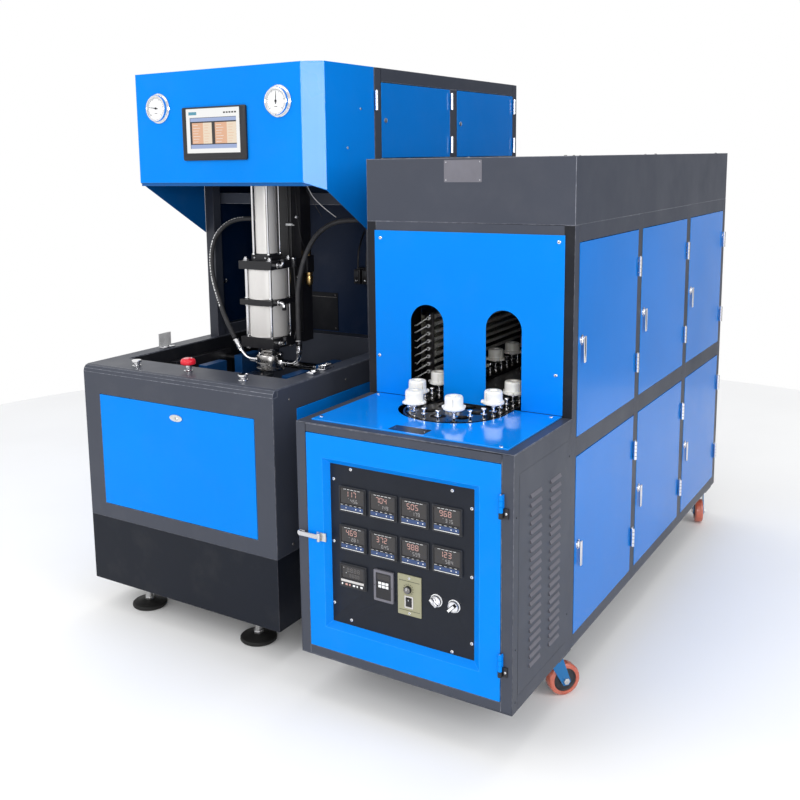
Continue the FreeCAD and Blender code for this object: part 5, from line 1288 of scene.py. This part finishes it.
# dark drip plate under the chain in the table opening
m.flat((0, 0, 770), "z", [(TRX - 156, 180 + 127), (TRX - 150, 255), (TRX - 120, 205), (TRX - 60, 168), (TRX, 156), (TRX + 60, 168), (TRX + 120, 205), (TRX + 150, 255), (TRX + 156, 307), (TRX + 156, 372), (TRX - 156, 372)],
       [circle(TRX, TY0, 20, 24)], h=2, mat=3, up=(0, 1, 0))
m.box((TRX - 60, TY0 - 30, 640), (TRX + 60, TY0 + 30, 665), 3, 3)
m.box((-609, TY0 - 20, 610), (-31, TY0 + 20, 640), 2, 3)
for yy in (520, 1000, 1500):
    m.box((TRX - 30, yy, 768), (TRX + 30, yy + 60, 784), 2, 3)
m.flat((0, 0, 784), "z", [(TRX - 100, TY0 + 130), (TRX + 100, TY0 + 130), (TRX + 100, TY1 - 130), (TRX - 100, TY1 - 130)], h=2.5, mat=3, up=(0, 1, 0))
m.box((TRX - 65, TY1 - 65, 520), (TRX + 65, TY1 + 65, 640), 6, 3)
m.box((TRX - 80, TY1 - 80, 640), (TRX + 80, TY1 + 80, 648), 1.5, 3)
m.lathe((TRX, TY1, 370), "z", [(0, 0), (50, 0), (58, 5), (60, 12), (60, 138), (58, 145), (60, 150), (0, 150)], 48, 3)
for j in range(16):
    a = 2 * math.pi * j / 16
    m.box((-1.2, -4, 20), (1.2, 4, 130), 0.5, 3, 1, xf=Matrix.Translation((TRX + 60 * math.cos(a), TY1 + 60 * math.sin(a), 370)) @ Matrix.Rotation(a + math.pi / 2, 4, "Z"))
for sx in (-70, 70):
    for sy in (-70, 70):
        m.cyl((TRX + sx, TY1 + sy, 648), "z", 7, 117, 1, 20, 2)
m.make("oven_chain_look", [M["chain"], M["steel_dark"], M["chrome"], M["black"]], "root", "preform_chain", 35)

# white preform cups: cap with rounded crown, parting rib with a darker grey line beside it (painted shade), flange with
# lugs
m = Mesh()
for k in range(0, 3 * NC, 3):
    x, y, a = on_track(PH + k * step)
    m.lathe((x, y, 0), "z", [(0, 828.2), (9.6, 828.2), (10.4, 829.4), (13.6, 833.2), (14.4, 834), (28.2, 834.1), (29.4, 835), (29.6, 837), (29.2, 840.6), (27.6, 842), (25.6, 842.6),
                            (25.0, 844), (24.8, 863), (24.3, 867.2), (22.8, 870.0), (20.6, 870.9), (12, 870.95), (11.2, 870.2), (10.6, 866), (0, 866)], 56, 0)
    base = a + (0.55, 1.9, 3.3, 4.4, 5.6, 2.6, 0.2)[(k // 3) % 7]
    for j in range(3):
        t = base + 2 * math.pi * j / 3
        xf = Matrix.Translation((x, y, 0)) @ Matrix.Rotation(t, 4, "Z")
        m.box((22.0, -8.5, 834.6), (33.4, 8.5, 842.4), 2.4, 0, 3, xf=xf)
    for j in range(2):
        t = base + math.pi * j + 0.9
        xf = Matrix.Translation((x, y, 0)) @ Matrix.Rotation(t, 4, "Z")
        # the grey line beside each rib is painted shade along the seam
        m.box((23.6, -0.55, 843), (25.5, 0.55, 867), 0.25, 1, 1, xf=xf)
        m.box((23.2, 0.4, 842.6), (25.9, 3.4, 868), 0.8, 0, 2, xf=xf)
M["cup_seam_shade"] = plastic("cup_seam_shade", (0.40, 0.38, 0.35, 1), 0.5, 0.06, 500, 0.3, wear_and_fold_highlight=0.0)
m.make("preform_cups_look", [M["cup"], M["cup_seam_shade"]], "root", "preform_cups", 30)

# --------------------------------------------------------------- lamp banks
m = Mesh()
for xa, sgn in ((-560.0, 1), (-96.0, -1)):
    for k in range(8):
        z = 829 + 24.3 * k
        m.cyl((xa, 640, z), "y", 6, 1032, 0.5, 20, 0)
        m.tube([(xa, 640, z), (xa, 1672, z)], 1.6, 6, 4)
        for y0, dr in ((612.2, 1), (1699.8, -1)):
            ax = "y" if dr > 0 else "-y"
            m.lathe((xa, y0, z), ax, [(0, 0), (8.2, 0), (8.8, 0.8), (8.8, 20), (8.2, 21), (6.6, 28), (0, 28)], 24, 1)
        # terminal, nut and looped lead in front of the holder
        for yy, ax in ((604, "-y"), (1708, "y")):
            m.hexa((xa, yy, z), ax, 6.4, 4, 2, 0.2 * k)
            m.lathe((xa, yy - (4 if ax == "-y" else -4), z), ax, [(0, 0), (3, 0), (3, 7), (2.2, 8), (0, 8)], 16, 2)
        y0 = 597
        m.tube([(xa, y0, z), (xa - 8 + 1.5 * (k % 3), y0 - 9, z - 3), (xa - 20, y0 - 14, z - 11 - 2 * (k % 2)), (xa - 34, y0 - 12, z - 19 - 3 * (k % 3)), (xa - 46, y0 - 4, z - 24 - 2 * (k % 2))], 2.0, 10, 6)
        m.lathe((xa, y0 + 2, z), "-y", [(0, 0), (5.6, 0), (6.2, 1), (6.2, 3), (5, 4.4), (0, 4.6)], 24, 6)
    for y0 in (604, 1700):
        m.box((xa - 14, y0, 768.2), (xa + 14, y0 + 8, 1015), 0.8, 3)
    for zz in (792, 1009):
        bolt(m, (xa, 604, zz), "-y", 4.5, 2, 0.3)
M["lead"] = plastic("lead_white", (0.92, 0.92, 0.90, 1), 0.35, 0.04, 600, 0.5, wear_and_fold_highlight=0.0)
M["reflector"] = metal("reflector", (0.78, 0.77, 0.74, 1), 0.16, None, 0.06, 0.1)
m.box((-590, 600, 768.2), (-587, 1710, 1040), 0.6, 5)
m.box((-69, 600, 768.2), (-66, 1710, 1040), 0.6, 5)
m.make("lamp_bank_look", [M["quartz"], M["ceramic"], M["chrome"], M["steel_dark"], M["steel"], M["reflector"], M["lead"]], "root", "lamp_bank")

# ------------------------------------------------------------- control door
refine("control_door", [M["blue"], M["zinc"]], 0.8, 2, 12, pick=lambda c, n: 1 if c.y < -2.2 else 0)

DIG = {"0": "abcdef", "1": "bc", "2": "abged", "3": "abgcd", "4": "fgbc", "5": "afgcd", "6": "afgedc", "7": "abc", "8": "abcdefg", "9": "abcdfg"}


def digit(m, ch, x, z, w, h, y, mat):
    t = 0.17 * w
    s = 0.10 * w
    seg = {"a": (t, h - t, w - t, h), "d": (t, 0, w - t, t), "g": (t, h / 2 - t / 2, w - t, h / 2 + t / 2),
           "b": (w - t, h / 2 + s, w, h - s), "c": (w - t, s, w, h / 2 - s), "f": (0, h / 2 + s, t, h - s), "e": (0, s, t, h / 2 - s)}
    for c in DIG[ch]:
        u0, v0, u1, v1 = seg[c]
        m.box((x + u0, y - 0.12, z + v0), (x + u1, y + 0.05, z + v1), 0, mat)


ip = Mesh()
ip.flat((0, 19, 0), "-y", rounded(-562, -90, 222, 714, 3), [[(-307.5, 341), (-289.5, 341), (-289.5, 367), (-307.5, 367)], circle(-300, 389, 4.5, 20), circle(-219, 377, 11.5, 32), circle(-168, 374, 11.5, 32)],
        h=3, bevel=0.3, mat=0)
for x, z in ((-475, 684), (-530, 650), (-172, 679), (-118, 642), (-533, 474), (-118, 463), (-536, 296), (-481, 257), (-174, 249), (-118, 286)):
    screw(ip, (x, 16, z), "-y", 4.6, 1, 2, 0.3 + x)
rngd = np.random.default_rng(11)
for z0 in (564, 456):
    for x0, x1 in ((-512, -427), (-417, -332), (-323, -238), (-228, -143)):
        z1 = z0 + 72
        ip.flat((0, 16, 0), "-y", rounded(x0, x1, z0, z1, 3), h=4.6, bevel=0.9, mat=3)
        ip.flat((0, 11.6, 0), "-y", rounded(x0 + 2, x1 - 2, z0 + 2, z1 - 2, 3), [rounded(x0 + 6, x1 - 6, z0 + 25, z1 - 5, 2)], h=2.8, bevel=0.6, mat=4)
        ip.box((x0 + 5, 10.8, z0 + 24), (x1 - 5, 11.8, z1 - 4), 0, 5)
        ip.box((x0 + 7, 19, z0 + 6), (x1 - 7, 84, z1 - 6), 2, 4)
        y = 10.8
        for k in range(3):
            digit(ip, str(int(rngd.integers(0, 10))), x0 + 22 + 12 * k, z0 + 45, 9, 15, y, 6)
        for k in range(3):
            digit(ip, str(int(rngd.integers(0, 10))), x0 + 38 + 8 * k, z0 + 30, 5.6, 9.5, y, 7)
        ip.box((x0 + 31, y - 0.15, z0 + 39), (x0 + 32.4, y, z0 + 40.4), 0, 7)
        for k in range(5):
            u = x0 + 16 + k * 11
            ip.box((u, y - 0.15, z1 - 7.6), (u + 8.2, y, z1 - 6.6), 0, 8)
        # function row: dashes, blue key strip with small keys, light rule below it
        for k in range(5):
            ip.box((x0 + 8 + k * 14.2, 8.4, z0 + 21.6), (x0 + 8 + k * 14.2 + 6.5, 8.8, z0 + 22.4), 0, 8)
        ip.box((x0 + 7, 8.2, z0 + 9.4), (x1 - 7, 8.9, z0 + 19.6), 0.2, 9, 1)
        for u, r in ((x0 + 25, 1.5), (x0 + 56, 1.7), (x0 + 70, 1.7)):
            ip.cyl((u, 8.3, z0 + 14.5), "-y", r, 0.5, 0.2, 16, 8)
        ip.box((x0 + 7, 8.35, z0 + 6.2), (x1 - 7, 8.85, z0 + 7.6), 0, 8)
# process controller, lower left: dim display, light strip, coloured row below it
x0, x1, z0, z1 = -514, -429, 351, 419
ip.flat((0, 16, 0), "-y", rounded(x0, x1, z0, z1, 3), h=4.6, bevel=0.9, mat=3)
ip.flat((0, 11.6, 0), "-y", rounded(x0 + 2, x1 - 2, z0 + 2, z1 - 2, 3), [rounded(x0 + 8, x1 - 8, z0 + 27, z1 - 6, 2)], h=2.8, bevel=0.6, mat=4)
ip.box((x0 + 7, 10.9, z0 + 26), (x1 - 7, 11.8, z1 - 5), 0, 5)
ip.box((x0 + 7, 19, z0 + 6), (x1 - 7, 84, z1 - 6), 2, 4)
for k in range(4):
    digit(ip, "8", x0 + 24 + 11 * k, z0 + 46, 8, 11, 10.8, 10)
    digit(ip, "8", x0 + 32 + 8.5 * k, z0 + 32, 6, 9, 10.8, 10)
for u, v in ((x0 + 14, z0 + 56), (x0 + 22, z0 + 42)):
    ip.cyl((u, 10.9, v), "-y", 1.0, 0.3, 0.1, 12, 8)
ip.box((x0 + 6, 8.3, z0 + 17), (x1 - 6, 8.9, z0 + 23.5), 0.2, 11, 1)
for k in range(6):
    ip.box((x0 + 8 + 12 * k, 8.35, z0 + 8), (x0 + 8 + 12 * k + (7 if k % 2 else 4), 8.85, z0 + 13), 0, 6 if k in (1, 2) else 8)
# counter with a grey frame
x0, x1, z0, z1 = -404, -344, 338, 424
ip.flat((0, 16, 0), "-y", rounded(x0, x1, z0, z1, 3), [rounded(x0 + 7, x1 - 7, z0 + 7, z1 - 7, 2)], h=7.4, bevel=0.9, mat=12)
ip.flat((0, 16, 0), "-y", rounded(x0 + 6, x1 - 6, z0 + 6, z1 - 6, 2), h=5.6, mat=4)
ip.box((x0 + 7, 19, z0 + 6), (x1 - 7, 84, z1 - 6), 2, 4)
ip.box((x0 + 11, 9.9, z0 + 60), (x1 - 11, 10.5, z1 - 11), 0.2, 5, 1)
for r in range(2):
    for k in range(3):
        ip.box((x0 + 14 + 11 * k, 9.4, z0 + 38 + 9 * r), (x0 + 23 + 11 * k, 10.5, z0 + 45 + 9 * r), 0.8, 8, 2)
for sx in (x0 + 3.5, x1 - 3.5):
    ip.cyl((sx, 8.7, (z0 + z1) / 2), "-y", 1.4, 0.6, 0.2, 12, 2)
# speed plate with its dial marks
x0, x1, z0, z1 = -332, -262, 317, 428
ip.flat((0, 16, 0), "-y", rounded(x0, x1, z0, z1, 1.5), [circle(-300, 389, 4.5, 20), [(-307.5, 341), (-289.5, 341), (-289.5, 367), (-307.5, 367)]], h=3, bevel=0.4, mat=13)
ip.box((x0 + 4, 12.7, z1 - 17), (x1 - 4, 13.1, z1 - 16), 0, 2)
ip.box((x0 + 4, 12.7, z0 + 13), (x1 - 4, 13.1, z0 + 14), 0, 2)
for k in range(11):
    a = math.radians(225 - 27 * k)
    c, s = math.cos(a), math.sin(a)
    q = [(-300 + 13 * c - 0.5 * s, 389 + 13 * s + 0.5 * c), (-300 + 16 * c - 0.5 * s, 389 + 16 * s + 0.5 * c), (-300 + 16 * c + 0.5 * s, 389 + 16 * s - 0.5 * c), (-300 + 13 * c + 0.5 * s, 389 + 13 * s - 0.5 * c)]
    ip.flat((0, 13, 0), "-y", q, h=0.2, mat=2)
for z in (z0 + 7, z1 - 8):
    screw(ip, (-297, 13, z), "-y", 3.6, 1, 2)
ip.flat((0, 13, 0), "-y", rounded(-311.5, -285.5, 337, 371, 2), [[(-307.5, 341), (-289.5, 341), (-289.5, 367), (-307.5, 367)]], h=1.2, bevel=0.3, mat=11)
ip.box((-325, 24, 375), (-272, 70, 425), 2, 4)
# rings round the selectors
for sx, sz in ((-219, 377), (-168, 374)):
    ip.lathe((sx, 16, sz), "-y", [(15.2, 0), (17.2, 0), (17.2, 0.5), (15.2, 0.5), (15.2, 0)], 48, 8)
ip.make("instrument_panel_look", [M["panel"], M["chrome"], M["black_in"], M["plastic_soft"], M["plastic"], M["screen_dark"], M["digit_red"], M["digit_white"], M["white"], M["meter_blue"],
                                  M["steel_dark"], M["silver_strip"], M["meter_grey"], M["olive"]], "control_door", "instrument_panel")

m = Mesh()
prof = []
for k in range(72):
    a = 2 * math.pi * k / 72
    r = 10 - (0.7 if k % 3 == 0 else 0)
    prof.append((r * math.cos(a), r * math.sin(a)))
m.prism((-300, 12.6, 389), "-y", prof, 8.0, 0, 0, up=(0, 0, 1))
m.lathe((-300, 4.7, 389), "-y", [(0, 0), (9.4, 0), (8.6, 1.6), (7.4, 2.6), (0, 2.7)], 40, 1)
m.cyl((-300, 12.7, 389), "y", 4, 9.3, 0.4, 20, 1)
m.box((-300.8, 0.9, 389), (-299.2, 2.2, 397.4), 0.3, 2, 1)
m.make("speed_knob_look", [M["plastic"], M["steel_dark"], M["white"]], "speed_knob", "speed_knob")
m = Mesh()
m.prism((-306.7, 0, 341.8), "x", [(9, 2), (11.5, 12), (9, 22.5), (16, 24.2), (26, 20), (26, 5), (16, 0.4)], 16.4, 0.6, 0, up=(0, 0, 1))
m.box((-299.2, 9.3, 358.4), (-297.8, 11.0, 362.2), 0, 1)
m.make("rocker_look", [M["plastic"], M["white"]], "rocker_switch", "rocker_switch")
for name, sx, sz, tilt, bar in (("selector_left", -219, 377, 48.0, 1), ("selector_right", -168, 374, -45.0, 2)):
    m = Mesh()
    m.lathe((sx, 15.7, sz), "-y", [(0, 0), (14.6, 0), (15, 0.6), (15, 6.4), (14, 8), (12.2, 8.7), (11.8, 7.6), (0, 7.6)], 56, 0)
    m.cyl((sx, 15.7, sz), "y", 11, 24, 0.8, 32, 1)
    xf = Matrix.Translation((sx, 0, sz)) @ Matrix.Rotation(math.radians(-tilt), 4, "Y")
    m.box((-4.8, -3.9, -12.8), (4.8, 8.2, 12.8), 1.6, 3 if bar == 1 else 1, 3, xf=xf)
    m.box((-3.1 if bar == 2 else -1.2, -4.0, -11.6 if bar == 2 else 2), (3.1 if bar == 2 else 1.2, -3.6, 11.6), 0.1, 2, 1, xf=xf)
    m.make(name + "_look", [M["chrome"], M["plastic"], M["white"], M["steel"]], name, name)

# draw latch: rounded lever, hook and pivot
m = Mesh()
lever = [(-630, 479.6), (-574, 479.2), (-569, 480.4), (-565.6, 483.4), (-564.6, 486), (-565.6, 488.6), (-569, 491.6), (-574, 492.8), (-630, 492.4)]
m.flat((0, -9, 0), "-y", lever, h=3.4, bevel=1.4, mat=0)
m.lathe((-566, -11, 474.1), "z", [(0, 0), (4.6, 0), (5, 0.5), (5, 23.4), (4.6, 23.8), (0, 23.8)], 28, 0)
m.box((-632.8, -12.8, 479.2), (-626.4, -5.1, 492.8), 1.2, 0, 3)
m.make("door_latch_look", [M["steel"]], "door_latch", "door_latch")

# side doors: glossy pans in the darker side blue (painted shade), and their quarter-turn levers
for j, (z0, z1) in enumerate(SIDE_Z):
    for i, (y0, y1) in enumerate(SIDE_Y):
        t = ("lower", "upper")[j] + "_" + ("front", "middle", "rear")[i]
        ly, lz = y0 + 27.0, (z0 + z1) / 2
        m = Mesh()
        m.lathe((1, ly, lz), "x", [(11.6, 0), (14.2, 0), (14.2, 0.8), (13.4, 1.3), (11.6, 1.3), (11.6, 0)], 32, 1)
        refine("side_door_" + t, [M["blue_side"], M["chrome"]], 0.9, 2, add=m)
        m = Mesh()
        m.lathe((-16, ly, lz), "x", [(0, 0), (6, 0), (6, 18.2), (11, 18.2), (11, 21.4), (10, 23), (8.4, 24), (0, 24.2)], 32, 0)
        pts = [(-6.4, -60), (-5.6, -61.5), (5.6, -61.5), (6.4, -60), (6.9, -20), (6.9, 9), (5, 11.6), (-5, 11.6), (-6.9, 9), (-6.9, -20)]
        m.prism((6.4, ly, lz), "x", pts, 6.2, 1.6, 0, up=(0, 0, 1), segs=3)
        m.make("side_latch_%s_look" % t, [M["chrome"]], "side_latch_" + t, "side_latch_" + t)

# hinges: leaf with screws, knuckles with pin ends; catches and latch plate
hm = Mesh()


def hinge(x, y, z, h, leaf_y=20, side="x"):
    n = 5
    for k in range(n):
        a, b = z + h * k / n + 0.3, z + h * (k + 1) / n - 0.3
        hm.lathe((x, y, 0), "z", [(0, a), (5.4, a), (6, a + 0.5), (6, b - 0.5), (5.4, b), (0, b)], 24, 0)
    hm.lathe((x, y, z + h - 0.6), "z", [(0, 0), (4, 0), (4, 1.2), (3, 2), (0, 2.2)], 20, 0)


def leaf(x0, y0, z, h):
    hm.box((x0, y0, z), (x0 + 3, y0 + 20, z + h), 0.8, 0)
    for dz in (0.22, 0.78):
        screw(hm, (x0 + 3, y0 + 13, z + h * dz), "x", 3.4, 0, 1)


for z0, z1 in SIDE_Z:
    for y0, y1 in SIDE_Y:
        for a in (z0 + 85, z1 - 145):
            hinge(8, y1, a, 60)
            leaf(0, y1, a, 60)
for y1 in (1236, 1796):
    for a in (1512, 1670):
        hinge(TR + 8, y1, a, 60)
        leaf(TR, y1, a, 60)
for a in (1652, 1330):
    hinge(TR + 8, TF, a, 64)
    leaf(TR, TF, a, 64)
for a in (232, 640):
    for k in range(4):
        p, q = a + 15 * k + 0.3, a + 15 * (k + 1) - 0.3
        hm.lathe((-30, -8, 0), "z", [(0, p), (5, p), (5.5, p + 0.5), (5.5, q - 0.5), (5, q), (0, q)], 24, 3 if k else 4)
    hm.box((-28, -3.6, a), (-12, -0.1, a + 26), 0.8, 4)
    hm.box((-28, -3.6, a + 26), (-24, -0.1, a + 60), 0.8, 3)
    hm.lathe((-30, -8, a + 59.6), "z", [(0, 0), (3, 0), (3, 1.4), (0, 1.6)], 16, 0)
    screw(hm, (-18, -3.6, a + 13), "-y", 3.4, 0, 1)
hm.box((-636, -3.4, 479), (-618, -0.1, 493), 1.0, 0)
hm.tube([(-634, -3.4, 480.5), (-636, -8, 481), (-636, -9, 486), (-636, -8, 491), (-634, -3.4, 491.5)], 1.6, 10, 0)
# chequered latch plate leaning on the left rim
for r in range(13):
    for c in range(15):
        if (r + c) % 2 == 0:
            y_, z_ = 427.5 + 3.8 * c, 846 + 3.8 * r
            hm.box((BL + 29.6, y_, z_), (BL + 30.6, y_ + 3.0, z_ + 3.0), 0.4, 6, 1)
hm.box((BL + 26.2, 425, DECK + 0.2), (BL + 29.9, 485, DECK + 51.6), 1.2, 5, 3)
hm.box((BL + 29, 426, DECK + 0.2), (BL + 51.5, 484, DECK + 3.6), 1.0, 0)
for y in (441, 469):
    screw(hm, (BL + 42, y, DECK + 3.6), "z", 5.4, 2, 1)
# toggle catch on the right rim: base, side cheeks, lever, hook rod
hm.box((BR - 52, 396, DECK + 0.2), (BR - 24, 454, DECK + 4), 1.0, 0)
for x in (BR - 50, BR - 28):
    hm.box((x, 402, DECK + 3.6), (x + 2.6, 448, DECK + 13.4), 1.0, 0)
hm.cyl((BR - 38, 400.4, DECK + 11), "y", 4.9, 49, 1, 24, 0)
hm.tube([(BR - 46, 412, DECK + 14), (BR - 38, 406, DECK + 15), (BR - 30, 412, DECK + 14), (BR - 30, 436, DECK + 14), (BR - 38, 442, DECK + 14), (BR - 46, 436, DECK + 14), (BR - 46, 412, DECK + 14)], 1.6, 10, 0)
hm.box((BR - 39.5, 322.4, DECK + 0.2), (BR - 14.4, 361.6, DECK + 9), 2.0, 0, 3)
hm.cyl((BR - 27, 342, DECK + 8.4), "z", 7.4, 5.4, 1.2, 6, 0)
screw(hm, (BR - 34, 330, DECK + 9), "z", 3.4, 0, 1)
M["stamped"] = metal("stamped_plate", (0.50, 0.50, 0.51, 1), 0.4, None, 0.2, 0.2, metallic=0.35, spot=0.3)
M["stamped_hi"] = metal("stamped_high", (0.88, 0.88, 0.89, 1), 0.25, None, 0.05, 0.05, metallic=0.3, spot=0.05)
hm.make("hinges_catches_look", [M["chrome"], M["black_in"], M["white"], M["blue"], M["black"], M["stamped"], M["stamped_hi"]], "root", "hinges_and_catches")

# ------------------------------------------------------------------- casters
CAST = [("front_right", -42, 355, 40.0), ("rear_right", -42, 1950, 160.0), ("front_left", -598, 355, 12.0), ("rear_left", -598, 1950, -20.0)]
for label, cx, cy, ang in CAST:
    a = math.radians(ang)
    axd = Vector((math.cos(a), -math.sin(a), 0))
    fw = Vector((math.sin(a), math.cos(a), 0))
    c = Vector((cx, cy, 47)) + fw * 38
    m = Mesh()
    # tread with two shallow grooves, sidewall, then a dished hub with spokes' ribs
    m.lathe(c - axd * 16, tuple(axd), [(34, 0.6), (40, 0.2), (43.6, 1.2), (46, 3.2), (46.9, 5.6), (46.95, 11), (46.4, 11.6), (46.95, 12.2), (46.95, 19.8), (46.4, 20.4), (46.95, 21), (46.9, 26.4),
                                       (46, 28.8), (43.6, 30.8), (40, 31.8), (34, 31.4), (33.6, 26), (33.6, 6), (34, 0.6)], 80, 0)
    m.lathe(c - axd * 16, tuple(axd), [(6.4, 0.4), (14, 0.4), (15, 1.4), (15.4, 5), (30, 6.4), (33.9, 3), (33.9, 29), (30, 25.6), (15.4, 27), (15, 30.6), (14, 31.6), (6.4, 31.6), (6.4, 0.4)], 64, 1)
    for s_ in (0, 1):
        for k in range(6):
            t = math.pi / 3 * k
            u = Vector((0, 0, 1)) * math.cos(t) + fw * math.sin(t)
            p = c + axd * (-10.6 if s_ == 0 else 8.4)
            w = axd.cross(u)
            tmp = bmesh.new()
            q = [(15, -1.4), (31.5, -1.0), (31.5, 1.0), (15, 1.4)]
            lo_ = [tmp.verts.new(p + u * r_ + w * v_) for r_, v_ in q]
            hi_ = [tmp.verts.new(p + u * r_ + w * v_ + axd * 2.2) for r_, v_ in q]
            tmp.faces.new(lo_)
            tmp.faces.new(hi_)
            for i_ in range(4):
                tmp.faces.new((lo_[i_], lo_[(i_ + 1) % 4], hi_[(i_ + 1) % 4], hi_[i_]))
            bmesh.ops.recalc_face_normals(tmp, faces=tmp.faces)
            m._absorb(tmp, 1)
    m.make("wheel_%s_look" % label, [M["urethane"], M["plastic_soft"]], "caster_wheel_" + label, "caster_wheel_" + label)
    m = Mesh()
    for s_ in (-1, 1):
        m.hexa(c + axd * (21 * s_), tuple(axd * s_), 9.5, 5.5, 1, 0.3)
    m.lathe((cx, cy, 119), "z", [(24.2, 0.4), (26.5, 0.4), (27, 1.4), (27, 5.6), (26, 6.6), (24.2, 6.6), (24.2, 0.4)], 48, 1)
    refine("caster_fork_" + label, [M["fork"], M["zinc"]], 0.9, 2, 20, add=m)


# --------------------------------------------------- everything still in CAD
PLAIN = {"blue_paint": "blue", "grey_paint": "grey", "dark_paint": "skirt", "black_oxide": "black", "bright_steel": "steel",
         "chrome_trim": "chrome", "cylinder_alloy": "alloy", "mould_alloy": "mould", "hose_rubber": "hose", "foot_rubber": "foot",
         "black_plastic": "plastic", "red_plastic": "red", "cup_plastic": "cup", "lamp_quartz": "quartz", "wheel_urethane": "urethane",
         "fork_zinc": "fork"}
for n_, o_ in NODES.items():
    if not o_.hide_render:
        o_.data.materials.clear()
        o_.data.materials.append(M[PLAIN[SLOT[n_]]])

# ------------------------------------------------------ camera, light, floor
cam_data = bpy.data.cameras.new("camera")
cam = bpy.data.objects.new("camera", cam_data)
COLL.objects.link(cam)
yaw, pitch, roll = math.radians(33.04), math.radians(-9.21), math.radians(-0.99)
fwd = Vector((-math.sin(yaw) * math.cos(pitch), math.cos(yaw) * math.cos(pitch), math.sin(pitch)))
right = Vector((math.cos(yaw), math.sin(yaw), 0))
up = right.cross(fwd)
r2 = right * math.cos(roll) + up * math.sin(roll)
u2 = up * math.cos(roll) - right * math.sin(roll)
cam.matrix_world = Matrix(((r2.x, u2.x, -fwd.x, 1.69436), (r2.y, u2.y, -fwd.y, -3.06823), (r2.z, u2.z, -fwd.z, 1.49437), (0, 0, 0, 1)))
cam_data.sensor_width = 36
cam_data.lens = 43.99
cam_data.shift_x = 0.0496
cam_data.shift_y = -0.1024
cam_data.clip_end = 100
bpy.context.scene.camera = cam

scene = bpy.context.scene
scene.view_settings.view_transform = "Standard"
scene.view_settings.look = "None"
world = bpy.data.worlds.new("studio")
scene.world = world
world.use_nodes = True
wt = world.node_tree
wt.nodes.clear()
wo = wt.nodes.new("ShaderNodeOutputWorld")
bg = wt.nodes.new("ShaderNodeBackground")
tc = wt.nodes.new("ShaderNodeTexCoord")
sep = wt.nodes.new("ShaderNodeSeparateXYZ")
ramp = wt.nodes.new("ShaderNodeValToRGB")
wt.links.new(tc.outputs["Generated"], sep.inputs[0])
mr = wt.nodes.new("ShaderNodeMapRange")
mr.inputs["From Min"].default_value = -1
mr.inputs["From Max"].default_value = 1
wt.links.new(sep.outputs[2], mr.inputs["Value"])
wt.links.new(mr.outputs[0], ramp.inputs[0])
ramp.color_ramp.elements[0].position = 0.0
ramp.color_ramp.elements[0].color = (1.0, 1.0, 1.0, 1)
ramp.color_ramp.elements[1].position = 0.7
ramp.color_ramp.elements[1].color = (1.0, 1.0, 1.0, 1)
# a dark flag beyond the right side of the row, so its doors mirror less white
flag_x = wt.nodes.new("ShaderNodeMapRange")
flag_x.interpolation_type = "SMOOTHSTEP"
flag_x.inputs["From Min"].default_value = 0.04
flag_x.inputs["From Max"].default_value = 0.45
wt.links.new(sep.outputs[0], flag_x.inputs["Value"])
flag_y = wt.nodes.new("ShaderNodeMapRange")
flag_y.interpolation_type = "SMOOTHSTEP"
flag_y.inputs["From Min"].default_value = -0.15
flag_y.inputs["From Max"].default_value = 0.30
wt.links.new(sep.outputs[1], flag_y.inputs["Value"])
both = wt.nodes.new("ShaderNodeMath")
both.operation = "MULTIPLY"
wt.links.new(flag_x.outputs[0], both.inputs[0])
wt.links.new(flag_y.outputs[0], both.inputs[1])
flag = wt.nodes.new("ShaderNodeMix")
flag.data_type = "RGBA"
wt.links.new(both.outputs[0], flag.inputs[0])
wt.links.new(ramp.outputs[0], flag.inputs[6])
flag.inputs[7].default_value = (0.07, 0.09, 0.13, 1)
wt.links.new(flag.outputs[2], bg.inputs[0])
bg.inputs[1].default_value = 1.0
wt.links.new(bg.outputs[0], wo.inputs[0])


def area(name, loc, aim, size, power, color=(1, 1, 1)):
    d = bpy.data.lights.new(name, "AREA")
    d.shape = "RECTANGLE"
    d.size, d.size_y = size
    d.energy = power
    d.color = color
    o = bpy.data.objects.new(name, d)
    o.location = loc
    o.rotation_euler = (Vector(aim) - Vector(loc)).to_track_quat("-Z", "Y").to_euler()
    COLL.objects.link(o)
    return o


area("key", (-1.6, -4.2, 3.4), (0, 0, 0.8), (2.6, 2.0), 45)
area("front", (2.31, -4.05, 1.75), (-0.06, -0.6, 1.6), (1.1, 1.1), 45)
area("side", (4.6, -0.6, 3.0), (0.3, 0.3, 0.8), (2.4, 3.2), 62)
area("top", (0, 0.2, 4.6), (0, 0, 0.5), (3.0, 3.4), 30)

fm = Nodes("floor_pale")
fcol = fm.ramp(fm.noise(1.2, 3, 0.5), [(0.3, (0.93, 0.93, 0.93, 1)), (0.7, (0.96, 0.96, 0.96, 1))])
fm.bsdf(fcol, 0.6, 0.0, None, Specular_IOR_Level=0.2)
fb = bmesh.new()
bmesh.ops.create_circle(fb, cap_ends=True, segments=128, radius=3.6)
fme = bpy.data.meshes.new("floor")
fb.to_mesh(fme)
fb.free()
fme.materials.append(fm.m)
floor = bpy.data.objects.new("floor", fme)
COLL.objects.link(floor)
floor.location.z = -0.0005
